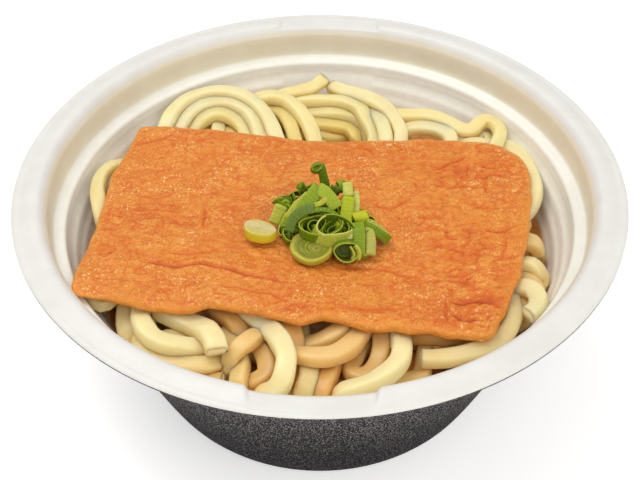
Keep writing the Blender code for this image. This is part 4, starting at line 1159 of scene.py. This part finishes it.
# the pale ring that leans in it, its front wall out
leant, bent = ((4.1, -18.3, 67.6), (0.10, -0.12, 1.0)), (0.8, 2.1, 4.0)
greens.ring(*leant, (5.4, 4.4), 0.0, 4.2, 0.5, blended(LEAF, PALE, 0.85), blended(SHADED_INSIDE, LEAF, 0.3),
            blended(PALE, WHITE, 0.35), 0.05, arc=(118, 345), flare=-0.28, phase=bent)
greens.ring(*leant, (5.4, 4.4), 0.0, 3.0, 0.45, LEAF, SHADED_INSIDE, blended(LEAF, PALE, 0.3), 0.05,
            arc=(8, 132), flare=0.12, phase=bent)
greens.ring((4.6, -17.6, 66.1), (0.0, 0.0, 1.0), (4.1, 3.5), 0.4, 3.2, 0.45, GREEN, SHADED_INSIDE, blended(GREEN, LEAF, 0.6), 0.07)
greens.ring((4.8, -17.9, 65.3), (0.1, 0.1, 1.0), (2.6, 2.2), 0.4, 3.0, 0.45, GREEN, DEEP, GREEN, 0.07)
# its torn, whitish corner at the right
greens.strip([(5.6, -21.6, 66.3), (7.4, -20.9, 67.3), (9.4, -20.6, 67.4)], face_on([(0, 0, 0), (1, 0.2, 0.5), (2, 0.4, 0.6)]),
             1.9, 0.5, blended(PALE, WHITE, 0.6), PALE, WHITE, cup=-0.2)
# the small one at the lower right, seen from its open end; the slice in its hollow is painted near black as shade
greens.ring((7.6, -24.0, 64.9), (0.12, -0.90, 0.50), (3.4, 2.9), 0.2, 4.2, 0.5, GREEN, (0.10, 0.10, 0.008),
            blended(LEAF, PALE, 0.45), 0.07)
greens.slice((7.4, -22.7, 64.2), (0.12, -0.90, 0.50), (2.8, 2.3), 0.2, 0.8, DEEP,
             [GREEN, (0.09, 0.09, 0.006), DEEP, (0.10, 0.10, 0.008), DEEP, (0.08, 0.08, 0.005)])
greens.strip([(9.8, -24.2, 67.0), (10.9, -24.9, 65.2), (10.6, -25.8, 63.0)], (0.75, -0.6, 0.25), 2.3, 0.8,
             blended(PALE, LIME, 0.3), LEAF, PALE, cup=-0.2)
greens.strip([(8.6, -24.6, 67.2), (9.7, -25.6, 65.0), (9.1, -26.4, 63.2)], (0.55, -0.8, 0.25), 1.2, 0.5,
             blended(PALE, LEAF, 0.4), GREEN, PALE, cup=-0.1)
# slab of pale stalk at the left, on edge
slab = [(-13.2, -10.4, 62.7), (-12.1, -8.8, 64.8), (-11.0, -7.0, 67.2)]
greens.strip(slab, face_on(slab, 0.2), 3.9, 1.1, blended(PALE, LIME, 0.45), PALE, blended(PALE, WHITE, 0.7), cup=-0.12)
slab = [(-11.4, -12.6, 62.6), (-10.1, -11.2, 64.2), (-9.0, -9.2, 66.0)]
greens.strip(slab, face_on(slab), 2.4, 0.7, blended(LEAF, LIME, 0.35), GREEN, PALE, cup=-0.2)
# bright strip beside it
band = [(-9.4, -11.0, 64.8), (-7.7, -9.5, 66.9), (-5.6, -7.9, 68.7), (-2.9, -5.9, 70.4)]
greens.strip(band, face_on(band, -0.15), 3.0, 0.5, blended(LIME, PALE, 0.35), LEAF, blended(PALE, WHITE, 0.5), cup=-0.15)
# the folded leaf: one side down to the left, the other to the right
band = [(-6.3, -12.0, 67.2), (-4.5, -10.2, 69.2), (-2.3, -8.3, 71.2), (0.1, -6.0, 72.9)]
greens.strip(band, face_on(band, 0.1), 4.3, 0.45, blended(LEAF, GREEN, 0.25), GREEN, PALE, cup=-0.2)
band = [(-0.6, -5.8, 72.9), (1.6, -7.4, 72.4), (3.4, -9.0, 71.2), (5.0, -10.8, 69.2)]
greens.strip(band, face_on(band, -0.1), 3.8, 0.45, blended(LEAF, LIME, 0.3), LEAF, blended(PALE, WHITE, 0.3), cup=-0.15)
band = [(-2.2, -10.2, 69.6), (0.4, -9.9, 70.5), (2.4, -8.7, 71.6)]
greens.strip(band, face_on(band), 1.5, 0.5, blended(LIME, PALE, 0.5), LEAF, PALE, cup=-0.1)
# dusky band of leaf over the ring's left
band = [(-9.0, -15.4, 64.2), (-8.1, -13.4, 66.2), (-6.4, -12.0, 68.0), (-4.0, -11.3, 69.4), (-1.4, -11.3, 69.9)]
greens.strip(band, face_on(band, -0.25), 3.1, 0.45, BLUISH, GREEN, blended(LEAF, PALE, 0.5), cup=-0.12)
band = [(-2.6, -11.8, 69.2), (0.4, -11.8, 69.8), (3.0, -12.3, 69.6), (5.6, -13.6, 68.4), (7.0, -15.6, 67.0)]
greens.strip(band, face_on(band, -0.5), 1.5, 0.4, GREEN, DEEP, blended(LEAF, PALE, 0.3), cup=-0.2)
# short block of bright stalk, hollow, and the tall slab behind it
greens.ring((11.9, -11.7, 66.3), (0.88, 0.05, 0.05), (1.9, 1.8), 0.4, 4.1, 0.8, (0.50, 0.50, 0.010), LEAF, LIME, 0.05)
slab = [(7.3, -15.4, 64.6), (7.7, -12.8, 67.0), (8.1, -10.2, 69.2), (8.6, -7.6, 71.0)]
greens.strip(slab, face_on(slab), 3.7, 1.3, (0.40, 0.46, 0.004), LEAF, PALE, cup=-0.3)
slab = [(8.3, -7.4, 70.9), (8.2, -5.2, 72.2), (8.1, -3.0, 72.5)]
greens.strip(slab, face_on(slab), 2.9, 1.1, blended(PALE, WHITE, 0.15), PALE, WHITE, cup=-0.3)
slab = [(10.5, -10.4, 66.8), (10.7, -7.8, 69.2), (10.5, -5.0, 70.9)]
greens.strip(slab, face_on(slab), 2.0, 0.9, blended(PALE, WHITE, 0.2), PALE, WHITE, cup=-0.15)
# dark slice at the right with its pale cut side up
greens.ring((16.7, -15.3, 64.3), (0.62, 0.42, 0.72), (4.1, 1.7), 0.95, 3.0, 0.9, blended(GREEN, LEAF, 0.25), LEAF,
            blended(PALE, WHITE, 0.2), 0.03)
greens.ring((16.8, -15.2, 64.5), (0.62, 0.42, 0.72), (3.1, 0.68), 0.95, 2.5, 0.6, PALE, PALE, blended(PALE, WHITE, 0.3), 0.02)
# leaf and pale end between them
band = [(10.5, -14.8, 67.4), (11.0, -17.6, 67.2), (11.1, -21.0, 65.6), (10.9, -24.4, 63.4)]
greens.strip(band, face_on(band), 4.0, 0.6, blended(GREEN, LEAF, 0.45), GREEN, PALE, cup=-0.3)
band = [(13.6, -15.0, 65.9), (14.4, -17.8, 65.5), (14.7, -20.8, 64.4), (14.5, -23.8, 62.8)]
greens.strip(band, face_on(band), 3.0, 1.0, (0.43, 0.41, 0.075), PALE, WHITE, cup=-0.35)
# thin dark curls at the back, left and right
greens.ring((-8.6, -4.2, 64.9), (0.25, 0.35, 1.0), (4.6, 3.2), 0.3, 2.6, 0.4, GREEN, DEEP, blended(GREEN, LIME, 0.5), 0.09)
greens.ring((-7.2, -4.4, 66.6), (0.1, -0.2, 1.0), (3.1, 2.4), 1.2, 2.2, 0.4, GREEN, DEEP, blended(LEAF, LIME, 0.4), 0.1, arc=(-40, 250))
greens.ring((-3.4, -2.6, 69.4), (0.15, -0.9, 0.35), (2.6, 2.2), 0.0, 1.8, 0.38, LEAF, DEEP, blended(LEAF, LIME, 0.4), 0.1, arc=(-20, 235))
greens.ring((5.4, -3.4, 69.4), (0.35, -0.55, 0.7), (3.2, 2.3), 0.5, 2.3, 0.4, blended(BLUISH, GREEN, 0.5), DEEP, blended(LEAF, PALE, 0.2), 0.1,
            arc=(-60, 220))
curls = np.random.default_rng(4)
for cx, cy, cz, span, many in ((-8.2, -5.2, 66.2, (3.6, 2.0, 1.3), 15), (-3.0, -3.4, 69.2, (2.4, 1.4, 1.6), 9),
                               (5.2, -2.9, 69.6, (3.4, 1.6, 1.5), 15), (-8.8, -14.4, 64.0, (1.7, 1.6, 0.8), 7),
                               (12.6, -18.0, 64.2, (2.6, 2.8, 1.0), 7)):
    for k in range(many):
        at = np.array([cx, cy, cz]) + np.clip(curls.normal(0, 0.55, 3), -1, 1) * span
        way, reach = curls.uniform(0, 6.3), curls.uniform(1.1, 2.3)
        arm = np.array([math.cos(way), 0.75 * math.sin(way), curls.uniform(-0.5, 0.5)]) * reach
        rise = np.array([0, 0.2, curls.uniform(0.3, 1.3)])
        tone = (DEEP, GREEN, GREEN, LEAF)[k % 4]
        path = [at - arm, at - 0.35 * arm + rise, at + 0.4 * arm + rise, at + arm]
        greens.strip(path, face_on(path, curls.uniform(-0.9, 0.9)), curls.uniform(0.8, 1.7), 0.34, tone, DEEP,
                     blended(tone, LIME, curls.uniform(0.25, 0.85)), cup=-0.15)
# at the foot, where the heap's pieces lie half under each other
greens.ring((-7.6, -16.0, 63.4), (0.1, -0.25, 1.0), (3.2, 2.7), 0.2, 2.2, 0.5, GREEN, DEEP, LEAF, 0.08)
greens.ring((-9.6, -13.0, 63.0), (-0.3, -0.3, 1.0), (2.4, 2.1), 0.2, 1.8, 0.45, blended(LEAF, LIME, 0.3), GREEN, PALE, 0.08)
greens.ring((12.6, -20.6, 62.9), (0.2, -0.3, 1.0), (3.0, 2.5), 0.9, 2.0, 0.5, LEAF, GREEN, PALE, 0.08)
# what fills the heap below and between them
filling = np.random.default_rng(12)
for k in range(64):
    a, r = filling.uniform(0, 2 * math.pi), math.sqrt(filling.uniform(0.0, 1.0))
    cx, cy = ONION_AT[0] - 0.8 + 11.6 * r * math.cos(a), ONION_AT[1] + 0.3 + 9.6 * r * math.sin(a)
    floor_z = float(tofu_top(cx, cy)) + 0.9
    z = floor_z + 0.5 + (4.4 * (1 - r ** 1.8)) * filling.uniform(0.0, 1.0)
    lean = np.array([filling.normal(0, 0.4), filling.normal(0, 0.4), 1.0])
    tone = [GREEN, LEAF, DEEP, blended(GREEN, LEAF, 0.5), GREEN, blended(LEAF, LIME, 0.5)][k % 6]
    cut = blended(tone, PALE, filling.uniform(0.15, 0.5))
    if k % 2:
        size = filling.uniform(1.6, 2.8)
        greens.ring((cx, cy, z), lean, (size, size * filling.uniform(0.6, 0.9)), filling.uniform(0, 6),
                    filling.uniform(1.6, 2.6), filling.uniform(0.35, 0.55), tone, blended(tone, DEEP, 0.6), cut, 0.1)
    else:
        way, reach = filling.uniform(0, 6.3), filling.uniform(1.6, 2.8)
        arm = np.array([math.cos(way), math.sin(way), 0]) * reach
        middle = np.array([cx, cy, z])
        path = [middle - arm, middle + [0, 0, filling.uniform(0.2, 0.9)], middle + arm]
        greens.strip(path, face_on(path, filling.uniform(-0.6, 0.6)), filling.uniform(2.0, 3.4),
                     0.45, tone, blended(tone, DEEP, 0.5), cut, cup=-0.25)

points = np.array(greens.points)
points[:, 2] = np.maximum(points[:, 2], tofu_top(points[:, 0], points[:, 1]) + 0.25)
points[:, 2] = np.minimum(points[:, 2], CAD_BOX[1].z / MM - 0.05)
herb = Finish("green_onion", Roughness=0.36, IOR=1.40, Specular_IOR_Level=0.30, Coat_Weight=0.0,
              Coat_Roughness=0.15, Subsurface_Scale=0.0015)
herb.shader.inputs["Subsurface Radius"].default_value = (0.8, 1.0, 0.2)
herb.shader.inputs["Subsurface Weight"].default_value = 0.18


def fibres(finish, size):
    """Fine veins, which run across each band, from how far along the band a point is."""
    made = finish.nodes.new("ShaderNodeTexNoise")
    made.noise_dimensions = "1D"
    made.inputs["Scale"].default_value = 1.0 / size
    made.inputs["Detail"].default_value = 2.0
    finish.links.new(finish.attribute("fibre"), made.inputs["W"])
    return made.outputs["Fac"]


veins = fibres(herb, 0.30)
spots = herb.noise(1.3, 2.0, 0.6)
green = herb.attribute("tone", "Color")
green = herb.mix(herb.levels(veins, 0.45, 0.68, 0.0, 0.50), green, herb.mix(0.45, green, (0.52, 0.58, 0.06)))
green = herb.mix(herb.levels(veins, 0.46, 0.30, 0.0, 0.50), green, herb.mix(0.60, green, (0.03, 0.07, 0.001)))
green = herb.mix(herb.levels(spots, 0.40, 0.70, 0.0, 0.35), green, herb.mix(0.5, green, (0.06, 0.15, 0.002)))
relief = herb.bump(spots, 0.10, herb.bump(veins, 0.08))
onion = piece("green_onion_cuts", points, greens.faces, [herb.set(Base_Color=green, Normal=relief)],
              "green_onion",
              attributes={"tone": np.array(greens.colour), "fibre": np.array(greens.fibre)})
print("green onion:", sum(len(f) - 2 for f in greens.faces), "triangles")

# ---- the lone slice -----------------------------------------------------------
# a short oval length of stalk that leans back a little, its cut side up, with the
# layers as fine rings on it
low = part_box("green_onion_slice")[0].z / MM + 0.1
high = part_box("green_onion_slice")[1].z / MM
SLICE_TURN = math.radians(-16.0)
around, points, tone, fibre = 56, [], [], []
profile = [(0.80, 0.0, 3), (0.95, 0.10, 3), (1.00, 0.22, 3), (1.02, 0.45, 3), (1.02, 0.70, 2), (1.01, 0.86, 2), (0.985, 0.94, 1),
           (0.95, 0.985, 0), (0.90, 1.0, 0), (0.84, 0.985, 4), (0.78, 0.998, 0), (0.70, 0.975, 4), (0.62, 0.99, 0),
           (0.52, 0.965, 4), (0.43, 0.98, 0), (0.32, 0.955, 4), (0.22, 0.97, 0), (0.12, 0.94, 4)]
shades = {3: (0.66, 0.52, 0.012), 2: (0.62, 0.52, 0.018), 1: (0.60, 0.53, 0.08), 0: (0.60, 0.48, 0.165), 4: (0.53, 0.43, 0.11)}
for k, (share, up, kind) in enumerate(profile):
    for j in range(around):
        a = 2 * math.pi * j / around
        wobble = 1 + 0.025 * math.sin(3 * a + 1) + 0.015 * math.sin(5 * a)
        px, py = 4.8 * share * wobble * math.cos(a), 3.1 * share * wobble * math.sin(a)
        lean = 0.9 * up
        rise = (high - low - 0.65) * up - 0.07 * px * up - 0.10 * py * (1 - up)
        points.append((-17.3 + px * math.cos(SLICE_TURN) - py * math.sin(SLICE_TURN),
                       -16.0 + px * math.sin(SLICE_TURN) + py * math.cos(SLICE_TURN) + lean,
                       low + 0.3 + rise + 0.10 * math.sin(7 * a + k) * (share < 0.9)))
        streak = math.exp(-((py - 0.6) / 1.1) ** 2) if up > 0.93 else 0.0
        tone.append(blended(shades[kind], (0.64, 0.53, 0.33), 0.65 * streak))
        fibre.append(a * 4.0)
n = len(profile)
faces = grid_faces(n, around)
faces.append(tuple(range(around - 1, -1, -1)))
faces.append(tuple((n - 1) * around + j for j in range(around)))
lone = Finish("green_onion_pale", Roughness=0.36, IOR=1.42, Coat_Weight=0.08, Coat_Roughness=0.12,
              Subsurface_Scale=0.002)
lone.shader.inputs["Subsurface Radius"].default_value = (1.0, 0.9, 0.25)
lone.shader.inputs["Subsurface Weight"].default_value = 0.25
veins = fibres(lone, 0.5)
colour = lone.attribute("tone", "Color")
colour = lone.mix(lone.levels(veins, 0.40, 0.70, 0.0, 0.5), colour, lone.mix(0.4, colour, (0.45, 0.50, 0.06)))
points = np.array(points)
points[:, 2] = np.maximum(points[:, 2], tofu_top(points[:, 0], points[:, 1]) + 0.2)
slice_piece = piece("green_onion_slice_cut", points, faces,
                    [lone.set(Base_Color=colour, Normal=lone.bump(veins, 0.05))],
                    "green_onion_slice",
                    attributes={"tone": np.array(tone), "fibre": np.array(fibre)})


# ---- stage, light and camera --------------------------------------------------
# the floor also glows a little on its own: painted light that lifts the shadow round the bowl and lights the bowl's
# outside from below
ground = Finish("ground", Roughness=0.9, Emission_Strength=0.46)
shade = ground.noise(900.0, 1.0)
ground.set(Base_Color=ground.mix(shade, (0.87, 0.87, 0.87), (0.89, 0.89, 0.89)))
ground.shader.inputs["Emission Color"].default_value = (1.0, 1.0, 1.0, 1.0)
mesh = bpy.data.meshes.new("floor")
mesh.from_pydata([(-6, -6, 0), (6, -6, 0), (6, 6, 0), (-6, 6, 0)], [], [(0, 1, 2, 3)])
mesh.materials.append(ground.material)
floor = bpy.data.objects.new("floor", mesh)
bpy.context.scene.collection.objects.link(floor)

world = bpy.data.worlds.new("studio")
world.use_nodes = True
world.node_tree.nodes["Background"].inputs["Color"].default_value = (1.0, 0.995, 0.985, 1.0)
world.node_tree.nodes["Background"].inputs["Strength"].default_value = 0.59
bpy.context.scene.world = world


def softbox(name, at, toward, size, power, colour=(1.0, 0.98, 0.95)):
    data = bpy.data.lights.new(name, "AREA")
    data.shape = "RECTANGLE"
    data.size, data.size_y = size
    data.energy = power
    data.color = colour
    made = bpy.data.objects.new(name, data)
    bpy.context.scene.collection.objects.link(made)
    made.location = at
    made.rotation_euler = (Vector(toward) - Vector(at)).to_track_quat("-Z", "Y").to_euler()
    return made


softbox("key", (-0.32, 0.12, 1.0), (0, 0, 0.05), (0.7, 0.7), 5.3)
softbox("fill", (0.45, -0.60, 0.75), (0, 0, 0.05), (0.8, 0.8), 3.5)

camera = bpy.data.cameras.new("camera")
camera.lens, camera.sensor_width, camera.clip_start = 77.22, 36.0, 0.01
view = bpy.data.objects.new("camera", camera)
bpy.context.scene.collection.objects.link(view)
pitch, yaw, roll = (math.radians(v) for v in (42.4845, -0.3723, -0.2780))
ahead = Vector((math.sin(yaw) * math.cos(pitch), math.cos(yaw) * math.cos(pitch), -math.sin(pitch)))
right = Vector((math.cos(yaw), -math.sin(yaw), 0.0))
up = right.cross(ahead)
right, up = (math.cos(roll) * right + math.sin(roll) * up, math.cos(roll) * up - math.sin(roll) * right)
turn = Matrix((right, up, -ahead)).transposed().to_4x4()
turn.translation = Vector((2.04, -309.64, 330.55)) * MM
view.matrix_world = turn
bpy.context.scene.camera = view
bpy.context.scene.view_settings.view_transform = "Standard"
